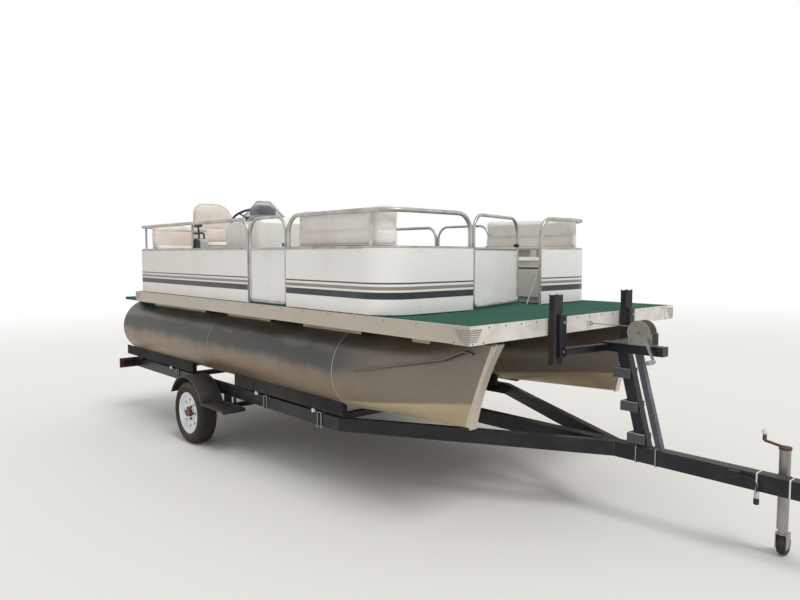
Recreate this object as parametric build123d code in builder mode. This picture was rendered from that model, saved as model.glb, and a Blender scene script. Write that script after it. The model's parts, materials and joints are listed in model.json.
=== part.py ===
from build123d import *
import math
import os

# Frame used while drawing, in millimetres: x forward from the stern edge of the deck,
# y to port from the centreline, z up from the top of the carpet.
# Every piece is tipped nose down and lowered onto the floor when it is written.
os.makedirs("parts", exist_ok=True)

# Deck
deck_length = 4880.0
deck_width = 2440.0
skirt_height = 106.0
skirt_wall = 4.0
skirt_lip = 16.0
carpet_thickness = 4.0
board_thickness = 19.0
member_height = 70.0
member_width = 44.0
member_wall = 5.0
member_count = 11
corner_cap_leg = 130.0
corner_cap_wall = 3.0
corner_rib_count = 7
corner_rib_depth = 2.0

# Pontoons
pontoon_radius = 305.0
pontoon_spacing = 1740.0
pontoon_axis_z = -434.0
pontoon_stern_x = -541.0
pontoon_seam_x = deck_length - 1350.0
stem_foot_x = deck_length - 280.0
stem_foot_z = -690.0
stem_top_x = deck_length - 65.0
stem_top_z = -132.0
stem_width = 40.0
stem_hollow = 26.0
stem_plate = 10.0
stem_plate_width = 62.0
strake_thickness = 6.0
strake_rise = [  # x, z along its top
    (3725.0, -405.0),
    (4100.0, -325.0),
    (4440.0, -257.0),
    (4580.0, -194.0),
    (4640.0, -206.0),
]
strake_reach = [  # x, distance of its edge from the pontoon's middle
    (3700.0, 274.0),
    (4100.0, 184.0),
    (4440.0, 102.0),
    (4580.0, 68.0),
    (4650.0, 50.0),
]
seat_gap = 0.3
riser_width = 290.0
riser_wall = 6.0
riser_spans = [  # start x, end x
    (6.0, 1240.0),
    (1690.0, 2450.0),
    (2940.0, 3670.0),
    (4200.0, 4360.0),
]

# Stern
platform_length = 500.0
platform_width = 580.0
platform_inset = 65.0
platform_top_z = -86.0
platform_thickness = 28.0
platform_front_gap = 6.0
bearer_start_x = -460.0
bearer_offset = 140.0
bearer_wall = 8.0
transom_width = 560.0
transom_height = 400.0
transom_thickness = 44.0
transom_x = -420.0
transom_top_z = -150.0
mount_rail_size = 60.0
mount_rail_gap = 300.0
mount_rail_front_x = 620.0

# Fence
tube = 32.0
slim_tube = 25.0
post_tube = 22.0
fence_inset = 30.0
fence_rail_z = 696.0
mid_rail_z = 450.0
low_rail_z = 30.0
foot_height = 7.0
foot_half = 13.5
panel_gap = 0.3
panel_thickness = 3.0
panel_bottom_z = 8.0
panel_top_z = 447.0
arch_radius = 130.0
bow_corner_radius = 220.0
stern_corner_radius = 45.0
fence_stern_x = 128.0
fence_bow_x = deck_length - 740.0
stern_post_gap = 6.0
stern_post_x = fence_stern_x + 117.0
side_post_x = {"starboard": 1360.0, "port": 1240.0}
bow_post_x = fence_bow_x - 161.0
running_gap = 8.0

# Gates
starboard_gate_start_x = 2426.0
starboard_gate_end_x = 2989.0
port_gate_start_x = 2270.0
port_gate_end_x = 3000.0
front_gate_hinge_y = -362.0
front_gate_free_y = 440.0
front_gate_ajar_deg = 14.0
gate_foot_z = 26.0
gate_corner_radius = 45.0
gate_panel_thickness = 3.0
knuckle_radius = 6.0
knuckle_length = 26.0
knuckle_heights = (150.0, 400.0)
pin_gap = 0.5
latch_size = (16.0, 34.0, 22.0)
latch_z = 478.0
prop_rod_radius = 5.0

# Lounges
lounge_length = 1010.0
lounge_fore_x = fence_bow_x - 55.0
lounge_aft_x = lounge_fore_x - lounge_length
lounge_gap = 25.0
lounge_back_depth = 150.0
lounge_seat_depth = 430.0
lounge_base_height = 284.0
lounge_toe_kick = 50.0
lounge_wall = 12.0
seat_pad_thickness = 100.0
lounge_back_bottom_z = 400.0
lounge_back_top_z = 746.0
lounge_corner = 150.0
pad_gap = 0.3

# Aft bench
bench_aft_x = 195.0
bench_depth = 490.0
bench_gap = 60.0
bench_back_depth = 130.0
bench_back_top_z = 738.0

# Helm console and its fittings
console_aft_x = 1500.0
console_fore_x = 2130.0
console_inset = 300.0
console_width = 590.0
console_top_z = 745.0
console_side_z = 700.0
console_wall = 8.0
console_dash_drop = 110.0
console_dash_length = 190.0
screen_foot_x = 2030.0
screen_inset = 40.0
screen_foot_width = 290.0
screen_head_inset = 80.0
screen_head_width = 135.0
screen_height = 150.0
screen_rake = 140.0
screen_thickness = 6.0
screen_wing_length = 300.0
pod_size = (150.0, 190.0, 120.0)
pod_x = 1800.0
helm_inset = 230.0
wheel_rim_radius = 165.0
wheel_rim_tube = 11.0
wheel_hub_radius = 34.0
wheel_hub_thickness = 30.0
column_length = 69.5
throttle_x = 1400.0
throttle_box = (190.0, 80.0, 92.0)
throttle_z = 455.0
lever_length = 150.0
grip_half_length = 62.0
grip_radius = 17.0

# Helm chair
chair_x = 940.0
chair_inset = 250.0
chair_plate_radius = 130.0
chair_post_radius = 36.0
chair_seat_z = 430.0
chair_seat_size = (470.0, 455.0, 110.0)
chair_back_height = 430.0
chair_back_thickness = 110.0
chair_arm_size = (300.0, 50.0, 50.0)
chair_arm_z = 640.0

# Trailer frame
rail_height = 100.0
rail_width = 50.0
rail_top_z = -820.0
rail_outer_y = 1020.0
rail_stern_x = -530.0
rail_bend_x = 3400.0
rail_meet_x = deck_length + 140.0
drawbar_width = 80.0
drawbar_start_x = 3150.0
drawbar_end_x = deck_length + 1680.0
cross_size = 50.0
cross_places = (-470.0, 581.0, 2366.0, 3165.0)
bunk_tube = 32.0
bunk_tube_places = (476.0, 2252.0, 3115.0)
bunk_tube_stern_x = -400.0
bunk_tube_half_length = 1050.0
bunk_width = 45.0
bunk_offset = 160.0
bunk_height = 125.0
bunk_spans = [(-760.0, 1010.0), (1875.0, 3495.0)]  # start x, end x
bolt_rod = 10.0

# Axle and road wheels
axle_x = 1283.0
axle_z = -1123.0
axle_size = 45.0
axle_end_y = 1010.0
stub_radius = 19.0
tyre_radius = 298.0
tyre_width = 185.0
tyre_centre_y = 1157.5
rim_radius = 187.0
rim_flange_radius = 198.0
rim_dish = 10.0
rim_disc_y = 40.0
hub_radius = 52.0
hub_length = 90.0
vent_count = 8
spring_half_span = 350.0
spring_width = 45.0
spring_thickness = 24.0
spring_rise = 50.0
spring_seat = 10.0
hanger_length = 44.0
hanger_wall = 6.0
hanger_drop = 14.0
guard_gap = 58.0
guard_wall = 4.0
guard_outer_y = 1262.0
guard_inner_y = 1036.0
guard_step_length = 430.0
guard_bracket = 40.0
guard_bracket_wall = 8.0
guard_bracket_reach = 24.0
guard_aft_deg = 153.0
guard_fore_deg = 24.0

# Bow stop and winch post
stop_post_offset_y = 437.0
stop_post_aft_x = deck_length + 5.0
stop_post_depth = 45.0
stop_post_width = 90.0
stop_post_bottom_z = -290.0
stop_post_top_z = 150.0
channel_width = 60.0
channel_depth = 34.0
channel_bottom_z = -245.0
channel_top_z = 30.0
beam_height = 60.0
beam_top_z = -170.0
beam_width = 70.0
beam_end_x = deck_length + 540.0
arm_meet_x = deck_length + 120.0
winch_post_top = (deck_length + 268.0, -230.0)  # x, z
winch_post_foot = (deck_length + 420.0, -820.0)  # x, z
winch_post_size = 76.0
brace_top = (deck_length + 358.0, -230.0)  # x, z
brace_foot = (deck_length + 516.0, -820.0)  # x, z
brace_size = 40.0
step_heights = (-360.0, -570.0, -770.0)
step_size = (110.0, 110.0, 60.0)

# Winch
winch_aft_x = deck_length + 310.0
winch_length = 160.0
winch_radius = 80.0
winch_plate = 5.0
winch_inner_width = 80.0
drum_radius = 30.0
cable_radius = 3.0
winch_arm = 90.0

# Coupling, jockey stand and lead
coupling_length = 240.0
coupling_socket_radius = 25.0
jockey_x = deck_length + 1202.0
jockey_y = 102.0
jockey_outer_radius = 30.0
jockey_inner_radius = 22.0
jockey_outer_top_z = -690.0
jockey_outer_bottom_z = -1150.0
jockey_wheel_radius = 60.0
jockey_wheel_width = 46.0
jockey_crown = 8.0
jockey_axle_radius = 6.0
jockey_fork_wall = 5.0
jockey_trail = 30.0
crank_throw = 110.0
crank_drop = 8.0
knob_radius = 11.0
lamp_size = (14.0, 320.0, 110.0)
lamp_z = -864.0
lamp_centre_y = 1065.0
plug_length = 70.0
plug_radius = 14.0
lead_radius = 4.0
lead_points = [  # x, y, z of the lead from its clamp to the plug
    (5900.0, -54.0, -846.0),
    (5934.0, -54.0, -846.0),
    (5968.0, -60.0, -850.0),
    (5990.0, -66.0, -866.0),
    (5998.0, -70.0, -890.0),
    (5998.0, -70.0, -914.0),
]

# How the trailer stands on level ground
nose_down_deg = 1.36

pieces = {}


def slab(x, y, z):
    """A block between two x, two y and two z values."""
    with BuildPart(mode=Mode.PRIVATE) as block:
        with Locations(((x[0] + x[1]) / 2, (y[0] + y[1]) / 2, (z[0] + z[1]) / 2)):
            Box(abs(x[1] - x[0]), abs(y[1] - y[0]), abs(z[1] - z[0]))
    return block.part


def bar(points, radii, size, square=False, wide=None):
    """A rod or a square tube along straight runs joined by arcs."""
    with BuildPart(mode=Mode.PRIVATE) as run:
        with BuildLine() as route:
            if len(points) == 2:
                Line(*points)
            else:
                FilletPolyline(*points, radius=radii)
        start = route.line @ 0
        ahead = route.line % 0
        side = Vector(0, 0, 1) if abs(ahead.Z) < 0.9 else Vector(1, 0, 0)
        with BuildSketch(Plane(origin=start, x_dir=side.cross(ahead), z_dir=ahead)):
            if square:
                Rectangle(wide or size, size)
            else:
                Circle(size / 2)
        sweep()
    return run.part


def rod(start, end, radius):
    """A plain round rod between two points."""
    return bar([start, end], None, 2 * radius)


def keep(builder, label):
    """Label a finished piece and hold it for the parking step."""
    builder.part.label = label
    pieces[label] = builder.part


half_width = deck_width / 2
pontoon_y = pontoon_spacing / 2
under_board_z = -carpet_thickness - board_thickness
member_bottom_z = under_board_z - member_height
fence_y = half_width - fence_inset
lounge_outer_y = fence_y - lounge_gap
bench_half_width = fence_y - bench_gap
console_starboard_y = -(half_width - console_inset)
console_port_y = console_starboard_y + console_width
helm_y = console_starboard_y + helm_inset
chair_y = console_starboard_y + chair_inset
screen_foot_y = console_starboard_y + screen_inset
screen_foot_end_y = screen_foot_y + screen_foot_width
screen_head_y = screen_foot_y + screen_head_inset
screen_head_end_y = screen_head_y + screen_head_width

# Pontoons: a round log, then a nose that narrows to an upright wedge with a stem plate
for side, sign in (("starboard", -1), ("port", 1)):
    with BuildPart() as pontoon:
        with BuildSketch(Plane.YZ.offset(pontoon_stern_x)):
            with Locations((sign * pontoon_y, pontoon_axis_z)):
                Circle(pontoon_radius)
        extrude(amount=pontoon_seam_x - pontoon_stern_x)
        chamfer(pontoon.edges().group_by(Axis.X)[0], 12)
        with BuildSketch(Plane.YZ.offset(pontoon_seam_x)):
            with Locations((sign * pontoon_y, pontoon_axis_z)):
                Circle(pontoon_radius)
        lean = math.degrees(math.atan2(stem_top_x - stem_foot_x, stem_top_z - stem_foot_z))
        stem_mid = Vector(
            (stem_foot_x + stem_top_x) / 2, sign * pontoon_y, (stem_foot_z + stem_top_z) / 2
        )
        stem_length = math.hypot(stem_top_x - stem_foot_x, stem_top_z - stem_foot_z)
        stem_face = Plane(stem_mid, x_dir=(0, 1, 0), z_dir=Vector(1, 0, 0).rotate(Axis.Y, lean))
        with BuildSketch(stem_face):
            RectangleRounded(stem_width, stem_length, stem_width / 2 - 1)
        loft()
        # The stem is hollowed to a curve and edged with a plate
        stem_top = (stem_top_x, stem_top_z)
        stem_foot = (stem_foot_x, stem_foot_z)
        stem_inward = Vector(-1, 0, 0).rotate(Axis.Y, lean)
        hollow = (stem_mid.X + stem_inward.X * stem_hollow, stem_mid.Z + stem_inward.Z * stem_hollow)
        with BuildSketch(Plane.XZ.offset(-sign * pontoon_y)):
            with BuildLine():
                high = (stem_top[0] - stem_inward.X, stem_top[1] - stem_inward.Z + 20)
                low = (stem_foot[0] - stem_inward.X, stem_foot[1] - stem_inward.Z - 20)
                ThreePointArc(high, hollow, low)
                Polyline(low, (stem_top_x + 200, low[1]), (stem_top_x + 200, high[1]), high)
            make_face()
        extrude(amount=stem_width * 2, both=True, mode=Mode.SUBTRACT)
        with BuildSketch(Plane.XZ.offset(-sign * pontoon_y)):
            with BuildLine():
                ahead = -stem_inward * stem_plate
                behind = stem_inward * 2
                ThreePointArc(
                    (stem_top[0] + behind.X, stem_top[1] + behind.Z),
                    (hollow[0] + behind.X, hollow[1] + behind.Z),
                    (stem_foot[0] + behind.X, stem_foot[1] + behind.Z),
                )
                Line(
                    (stem_foot[0] + behind.X, stem_foot[1] + behind.Z),
                    (stem_foot[0] + ahead.X, stem_foot[1] + ahead.Z),
                )
                ThreePointArc(
                    (stem_foot[0] + ahead.X, stem_foot[1] + ahead.Z),
                    (hollow[0] + ahead.X, hollow[1] + ahead.Z),
                    (stem_top[0] + ahead.X, stem_top[1] + ahead.Z),
                )
                Line(
                    (stem_top[0] + ahead.X, stem_top[1] + ahead.Z),
                    (stem_top[0] + behind.X, stem_top[1] + behind.Z),
                )
            make_face()
        extrude(amount=stem_plate_width / 2, both=True)
        # The strake climbs along the outer side of the nose
        with BuildPart(mode=Mode.PRIVATE) as strake:
            with BuildSketch(Plane.XZ.offset(-sign * (pontoon_y + pontoon_radius / 2))):
                with BuildLine():
                    lower = [(x, z - strake_thickness) for x, z in reversed(strake_rise)]
                    Polyline(*strake_rise, *lower, close=True)
                make_face()
            extrude(amount=pontoon_radius / 2, both=True)
            with BuildSketch(Plane.XY.offset(pontoon_axis_z)):
                with BuildLine():
                    edge = [(x, sign * (pontoon_y + reach)) for x, reach in strake_reach]
                    first = (strake_reach[0][0], sign * (pontoon_y + strake_reach[0][1] - 60))
                    last = (strake_reach[-1][0], sign * (pontoon_y + 2))
                    Polyline(first, *edge, last, close=True)
                make_face()
            extrude(amount=pontoon_radius, mode=Mode.INTERSECT)
        add(strake.part)
    keep(pontoon, f"pontoon_{side}")

# Risers: upside-down channels that carry the deck on the pontoons
with BuildPart() as risers:
    for sign in (-1, 1):
        centre = sign * pontoon_y
        for start, end in riser_spans:
            deep = (pontoon_axis_z + pontoon_radius / 2, member_bottom_z)
            half = riser_width / 2
            add(slab((start, end), (centre - half, centre + half), deep))
            inner = half - riser_wall
            hollow_top = member_bottom_z - riser_wall
            add(
                slab((start - 1, end + 1), (centre - inner, centre + inner), (deep[0], hollow_top)),
                mode=Mode.SUBTRACT,
            )
        with BuildSketch(Plane.YZ.offset(pontoon_stern_x)):
            with Locations((centre, pontoon_axis_z)):
                Circle(pontoon_radius + seat_gap)
        extrude(amount=deck_length - pontoon_stern_x, mode=Mode.SUBTRACT)
keep(risers, "riser_channels")

# Cross members: channel beams across the boat, open towards the stern
member_first_x = 120.0
member_last_x = deck_length - 120.0
member_pitch = (member_last_x - member_first_x) / (member_count - 1)
with BuildPart() as members:
    member_half = half_width - skirt_wall - 4
    for index in range(member_count):
        x = member_first_x + index * member_pitch
        add(
            slab(
                (x - member_width / 2, x + member_width / 2),
                (-member_half, member_half),
                (member_bottom_z, under_board_z),
            )
        )
        add(
            slab(
                (x - member_width / 2, x + member_width / 2 - member_wall),
                (-member_half, member_half),
                (member_bottom_z + member_wall, under_board_z - member_wall),
            ),
            mode=Mode.SUBTRACT,
        )
keep(members, "deck_cross_members")

inside_x = (skirt_wall, deck_length - skirt_wall)
inside_y = (-half_width + skirt_wall, half_width - skirt_wall)

with BuildPart() as board:
    add(slab(inside_x, inside_y, (under_board_z, -carpet_thickness)))
keep(board, "deck_board")

with BuildPart() as carpet:
    add(slab(inside_x, inside_y, (-carpet_thickness, 0)))
keep(carpet, "deck_carpet")

# Skirt: the aluminium edge all round the deck, with a lip over the carpet
with BuildPart() as skirt:
    with BuildSketch(Plane.XY.offset(-skirt_height)):
        with Locations((deck_length / 2, 0)):
            Rectangle(deck_length, deck_width)
            Rectangle(
                deck_length - 2 * skirt_wall, deck_width - 2 * skirt_wall, mode=Mode.SUBTRACT
            )
    extrude(amount=skirt_height)
    with BuildSketch(Plane.XY):
        with Locations((deck_length / 2, 0)):
            Rectangle(deck_length, deck_width)
            Rectangle(deck_length - 2 * skirt_lip, deck_width - 2 * skirt_lip, mode=Mode.SUBTRACT)
    extrude(amount=2)
    # Ribbed castings round the four deck corners
    for x, along in ((0, 1), (deck_length, -1)):
        for sign in (-1, 1):
            y = sign * half_width
            out_x = x - along * corner_cap_wall
            out_y = y + sign * corner_cap_wall
            low = -skirt_height - 1
            add(slab((out_x, x + along * corner_cap_leg), (y, out_y), (low, 2)))
            add(slab((out_x, x), (y - sign * corner_cap_leg, out_y), (low, 2)))
            for rib in range(corner_rib_count):
                z = low + 14 + rib * (skirt_height - 18) / corner_rib_count
                rib_x = out_x - along * corner_rib_depth
                rib_y = out_y + sign * corner_rib_depth
                rib_leg = 70 + rib * 8
                add(slab((rib_x, x + along * rib_leg), (out_y, rib_y), (z, z + 4)))
                add(slab((rib_x, out_x), (y - sign * rib_leg, rib_y), (z, z + 4)))
    # Bow eye for the winch cable
    add(slab((deck_length, deck_length + 4.5), (-22, 22), (-84, -36)))
keep(skirt, "deck_skirt")

# Stern platforms: one small carpeted step behind each side of the deck
with BuildPart() as platforms:
    for sign in (-1, 1):
        outer = sign * (half_width - platform_inset)
        inner = outer - sign * platform_width
        low = platform_top_z - platform_thickness
        front = -platform_front_gap
        add(slab((-platform_length, front), (outer, inner), (low, platform_top_z)))
        for offset in (-bearer_offset, bearer_offset):
            web = sign * pontoon_y + offset
            add(slab((bearer_start_x, front), (web - bearer_wall / 2, web + bearer_wall / 2),
                     (pontoon_axis_z + pontoon_radius / 2, low)))
        with BuildSketch(Plane.YZ.offset(pontoon_stern_x)):
            with Locations((sign * pontoon_y, pontoon_axis_z)):
                Circle(pontoon_radius + seat_gap)
        extrude(amount=-pontoon_stern_x, mode=Mode.SUBTRACT)
keep(platforms, "stern_platforms")

# Motor mount: two rails under the deck and an upright transom board
with BuildPart() as motor_mount:
    rail_z = (member_bottom_z - mount_rail_size, member_bottom_z)
    for sign in (-1, 1):
        near = sign * mount_rail_gap / 2
        far = near + sign * mount_rail_size
        add(slab((transom_x, mount_rail_front_x), (near, far), rail_z))
        add(
            bar(
                [
                    (transom_x + 10, (near + far) / 2, transom_top_z - transom_height + 60),
                    (mount_rail_front_x - 320, (near + far) / 2, rail_z[0] + 10),
                ],
                None,
                40,
                square=True,
            )
        )
    add(slab((-seat_gap, skirt_wall + seat_gap), (-half_width, half_width),
             (-skirt_height - seat_gap, 0)), mode=Mode.SUBTRACT)
    half = transom_width / 2
    transom_z = (transom_top_z - transom_height, transom_top_z)
    add(slab((transom_x - transom_thickness, transom_x), (-half, half), transom_z))
keep(motor_mount, "motor_mount")

# Fence sections: each a closed tube frame whose top rail arches down at both ends
# name, side sign, gate end x, corner x, corner radius, end y of the return, posts along the side
fence_sections = [
    ("starboard_aft", -1, starboard_gate_start_x - running_gap, fence_stern_x,
     stern_corner_radius, -stern_post_gap / 2, (stern_post_x, side_post_x["starboard"])),
    ("port_aft", 1, port_gate_start_x - running_gap, fence_stern_x,
     stern_corner_radius, stern_post_gap / 2, (stern_post_x, side_post_x["port"])),
    ("starboard_bow", -1, starboard_gate_end_x + running_gap, fence_bow_x,
     bow_corner_radius, front_gate_hinge_y - running_gap, (bow_post_x,)),
    ("port_bow", 1, port_gate_end_x + running_gap, fence_bow_x,
     bow_corner_radius, front_gate_free_y + running_gap, (bow_post_x,)),
]


def hinge_knuckles(axis_x, axis_y, toward, low_first):
    """Hinge barrels with leaves: the fixed pair or the gate's pair."""
    with BuildPart(mode=Mode.PRIVATE) as barrels:
        for height in knuckle_heights:
            base = height if low_first else height + knuckle_length + pin_gap
            add(rod((axis_x, axis_y, base), (axis_x, axis_y, base + knuckle_length), knuckle_radius))
            leaf = (Vector(*toward) - Vector(axis_x, axis_y)).normalized()
            end = Vector(*toward)
            middle = base + knuckle_length / 2
            start = Vector(axis_x, axis_y) + leaf * 2
            add(
                bar(
                    [(start.X, start.Y, middle), (end.X, end.Y, middle)],
                    None,
                    knuckle_length,
                    square=True,
                    wide=4,
                )
            )
    return barrels.part


hinge_inset = tube / 2 + 2
starboard_hinge = (starboard_gate_start_x - running_gap / 2, -fence_y + hinge_inset)
port_hinge = (port_gate_start_x - running_gap / 2, fence_y - hinge_inset)
front_hinge = (fence_bow_x - hinge_inset, front_gate_hinge_y - running_gap / 2)

fence_frames = {"aft": [], "bow": []}
fence_panels = {"aft": [], "bow": []}
for name, sign, gate_x, corner_x, corner_radius, return_y, posts in fence_sections:
    end = name.split("_")[1]
    inward = 1 if corner_x > gate_x else -1
    gate_post_x = gate_x + inward * tube / 2
    return_post_y = return_y + sign * tube / 2
    y = sign * fence_y
    with BuildPart() as frame:
        corner_points = [(gate_post_x, y), (corner_x, y), (corner_x, return_post_y)]
        top_points = [
            (gate_post_x, y, foot_height),
            (gate_post_x, y, fence_rail_z),
            (corner_x, y, fence_rail_z),
            (corner_x, return_post_y, fence_rail_z),
            (corner_x, return_post_y, foot_height),
        ]
        add(bar(top_points, [arch_radius, corner_radius, arch_radius], tube))
        for z in (low_rail_z, mid_rail_z):
            add(bar([(px, py, z) for px, py in corner_points], [corner_radius], slim_tube, True))
        feet = [(gate_post_x, y), (corner_x, return_post_y)]
        for post_x in posts:
            # A post past the start of the corner stands on its curve
            past = max(0, (post_x - corner_x) * inward + corner_radius)
            post_y = y - sign * (corner_radius - math.sqrt(corner_radius**2 - past**2))
            add(rod((post_x, post_y, foot_height), (post_x, post_y, fence_rail_z), post_tube / 2))
            feet.append((post_x, post_y))
        for foot_x, foot_y in feet:
            add(slab((foot_x - foot_half, foot_x + foot_half),
                     (foot_y - foot_half, foot_y + foot_half), (0, foot_height)))
        if name == "starboard_aft":
            add(hinge_knuckles(*starboard_hinge, (gate_post_x, y), True))
        if name == "port_aft":
            add(hinge_knuckles(*port_hinge, (gate_post_x, y), True))
        if name == "starboard_bow":
            add(hinge_knuckles(*front_hinge, (corner_x, return_post_y), True))
    fence_frames[end].append(frame.part)

    skin_offset = tube / 2 + panel_gap + panel_thickness / 2
    outward_x = skin_offset * inward
    with BuildPart() as panel:
        skin_y = y + sign * skin_offset
        skin_x = corner_x + outward_x
        skin_points = [
            (gate_x + inward * 2, skin_y, (panel_bottom_z + panel_top_z) / 2),
            (skin_x, skin_y, (panel_bottom_z + panel_top_z) / 2),
            (skin_x, return_y + sign * 2, (panel_bottom_z + panel_top_z) / 2),
        ]
        skin_radius = corner_radius + skin_offset
        add(
            bar(
                skin_points,
                [skin_radius],
                panel_top_z - panel_bottom_z,
                square=True,
                wide=panel_thickness,
            )
        )
    fence_panels[end].append(panel.part)

prop_top = (fence_bow_x - tube / 2 + 2, front_gate_free_y + 24, 300)
prop_foot = (fence_bow_x - 52, front_gate_free_y - 84, prop_rod_radius)
for end in ("aft", "bow"):
    with BuildPart() as frames:
        add(fence_frames[end])
        if end == "bow":
            # A thin stay leans from the port front post down to the deck
            add(rod(prop_top, prop_foot, prop_rod_radius))
    keep(frames, f"fence_frames_{end}")
    with BuildPart() as panels:
        add(fence_panels[end])
    keep(panels, f"fence_panels_{end}")


def gate_pieces(width):
    """A gate drawn along +X from its hinge end: the tube frame and the inset panel."""
    middle = slim_tube / 2
    with BuildPart(mode=Mode.PRIVATE) as frame:
        with BuildLine() as loop:
            FilletPolyline(
                (width - middle, 0, gate_foot_z),
                (width - middle, 0, fence_rail_z),
                (middle, 0, fence_rail_z),
                (middle, 0, gate_foot_z),
                radius=[gate_corner_radius, arch_radius, arch_radius, gate_corner_radius],
                close=True,
            )
        with BuildSketch(Plane(origin=loop.line @ 0, z_dir=loop.line % 0)):
            Circle(middle)
        sweep()
        add(rod((middle, 0, mid_rail_z), (width - middle, 0, mid_rail_z), middle * 0.8))
    with BuildPart(mode=Mode.PRIVATE) as panel:
        inner = (slim_tube + panel_gap, width - slim_tube - panel_gap)
        half = gate_panel_thickness / 2
        low = gate_foot_z + slim_tube / 2 + panel_gap
        high = mid_rail_z - slim_tube * 0.4 - panel_gap
        add(slab(inner, (-half, half), (low, high)))
        fillet(panel.edges().filter_by(Axis.Y).group_by(Axis.Z)[0], gate_corner_radius - 12)
    with BuildPart(mode=Mode.PRIVATE) as latch:
        along, across, tall = latch_size
        add(slab((width - slim_tube - along, width - slim_tube + 6), (-across / 2, across / 2),
                 (latch_z - tall / 2, latch_z + tall / 2)))
        add(slab((width - slim_tube, width - 2), (-across / 2, -across / 2 + 3),
                 (latch_z - 8, latch_z + 8)))
    return frame.part, panel.part, latch.part


# Gates: name, width, hinge corner of the gate, turn about the upright, hinge axis, closed turn
gates = [
    ("starboard", starboard_gate_end_x - starboard_gate_start_x,
     (starboard_gate_start_x, -fence_y), 0.0, starboard_hinge, 0.0),
    ("port", port_gate_end_x - port_gate_start_x,
     (port_gate_start_x, fence_y), 0.0, port_hinge, 0.0),
    ("front", front_gate_free_y - front_gate_hinge_y,
     (fence_bow_x, front_gate_hinge_y), 90.0, front_hinge, front_gate_ajar_deg),
]
for name, width, corner, turn, hinge, ajar in gates:
    frame_part, panel_part, latch_part = gate_pieces(width)
    stand = Location((corner[0], corner[1], 0), (0, 0, turn))
    swing = Axis((hinge[0], hinge[1], 0), (0, 0, 1))
    gate_side = stand * Location((slim_tube / 2, 0, 0))
    target = (gate_side.position.X, gate_side.position.Y)
    with BuildPart() as gate_frame:
        add(frame_part.moved(stand).rotate(swing, ajar))
        add(hinge_knuckles(*hinge, target, False).rotate(swing, ajar))
        add(latch_part.moved(stand).rotate(swing, ajar))
    keep(gate_frame, f"{name}_gate_frame")
    with BuildPart() as gate_panel:
        add(panel_part.moved(stand).rotate(swing, ajar))
    keep(gate_panel, f"{name}_gate_panel")

# Lounges: a hollow moulded base, a seat pad and a back pad on each side of the bow
seat_bases = []
lounge_pads = []
for side, sign in (("starboard", -1), ("port", 1)):
    back_y = sign * lounge_outer_y
    back_front_y = back_y - sign * lounge_back_depth
    seat_front_y = back_front_y - sign * lounge_seat_depth
    with BuildPart() as base:
        base_x = (lounge_aft_x + 10, lounge_fore_x - 10)
        low_front_y = seat_front_y + sign * lounge_toe_kick
        outer_y = back_y - sign * 4
        add(slab(base_x, (outer_y, seat_front_y + sign * 6), (lounge_toe_kick, lounge_base_height)))
        add(slab(base_x, (outer_y, low_front_y), (0, lounge_toe_kick)))
        corner_edges = base.edges().filter_by(Axis.Z).group_by(Axis.X)[-1]
        fillet(corner_edges.group_by(Axis.Y)[0 if sign < 0 else -1], lounge_corner)
        add(
            slab(
                (base_x[0] + lounge_wall, base_x[1] - lounge_wall),
                (outer_y - sign * 60, low_front_y + sign * lounge_wall),
                (0, lounge_base_height - lounge_wall),
            ),
            mode=Mode.SUBTRACT,
        )
        for post_x in (lounge_aft_x + 170, (lounge_aft_x + lounge_fore_x) / 2, lounge_fore_x - 240):
            add(
                slab(
                    (post_x, post_x + 70),
                    (back_y - sign * 50, back_y - sign * 85),
                    (lounge_base_height, lounge_back_bottom_z + seat_pad_thickness / 2),
                )
            )
    seat_bases.append(base.part)
    with BuildPart() as seat:
        seat_z = lounge_base_height + pad_gap
        add(slab((lounge_aft_x, lounge_fore_x), (back_front_y, seat_front_y),
                 (seat_z, seat_z + seat_pad_thickness)))
        fillet(seat.edges().group_by(Axis.Z)[-1], 30)
        fillet(seat.edges().filter_by(Axis.Z), 24)
    lounge_pads.append(seat.part)
    with BuildPart() as back:
        back_low = lounge_back_bottom_z + seat_pad_thickness / 2 + pad_gap
        add(slab((lounge_aft_x, lounge_fore_x), (back_y, back_front_y),
                 (back_low, lounge_back_top_z)))
        corner_edges = back.edges().filter_by(Axis.Z).group_by(Axis.X)[-1]
        fillet(corner_edges.group_by(Axis.Y)[0 if sign < 0 else -1], lounge_corner - 10)
        fillet(back.edges().group_by(Axis.Z)[-1], 50)
    lounge_pads.append(back.part)
with BuildPart() as lounge_soft:
    add(lounge_pads)
keep(lounge_soft, "lounge_pads")

# Aft bench across the stern
with BuildPart() as bench:
    add(slab((bench_aft_x + 10, bench_aft_x + bench_depth - 10),
             (-bench_half_width + 10, bench_half_width - 10), (0, lounge_base_height)))
    add(
        slab(
            (bench_aft_x + 10 + lounge_wall, bench_aft_x + bench_depth - 10 - lounge_wall),
            (-bench_half_width + 10 + lounge_wall, bench_half_width - 10 - lounge_wall),
            (0, lounge_base_height - lounge_wall),
        ),
        mode=Mode.SUBTRACT,
    )
seat_bases.append(bench.part)
with BuildPart() as bases:
    add(seat_bases)
keep(bases, "seat_bases")
with BuildPart() as bench_seat:
    seat_z = lounge_base_height + pad_gap
    add(slab((bench_aft_x + bench_back_depth + pad_gap, bench_aft_x + bench_depth),
             (-bench_half_width, bench_half_width), (seat_z, seat_z + seat_pad_thickness)))
    fillet(bench_seat.edges().group_by(Axis.Z)[-1], 30)
with BuildPart() as bench_back:
    add(slab((bench_aft_x, bench_aft_x + bench_back_depth),
             (-bench_half_width, bench_half_width), (seat_z, bench_back_top_z)))
    fillet(bench_back.edges().group_by(Axis.Z)[-1], 45)
with BuildPart() as bench_soft:
    add([bench_seat.part, bench_back.part])
keep(bench_soft, "bench_pads")

# Console: a hollow moulding with a crowned top, open towards the chair below its sloping dash


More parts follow.
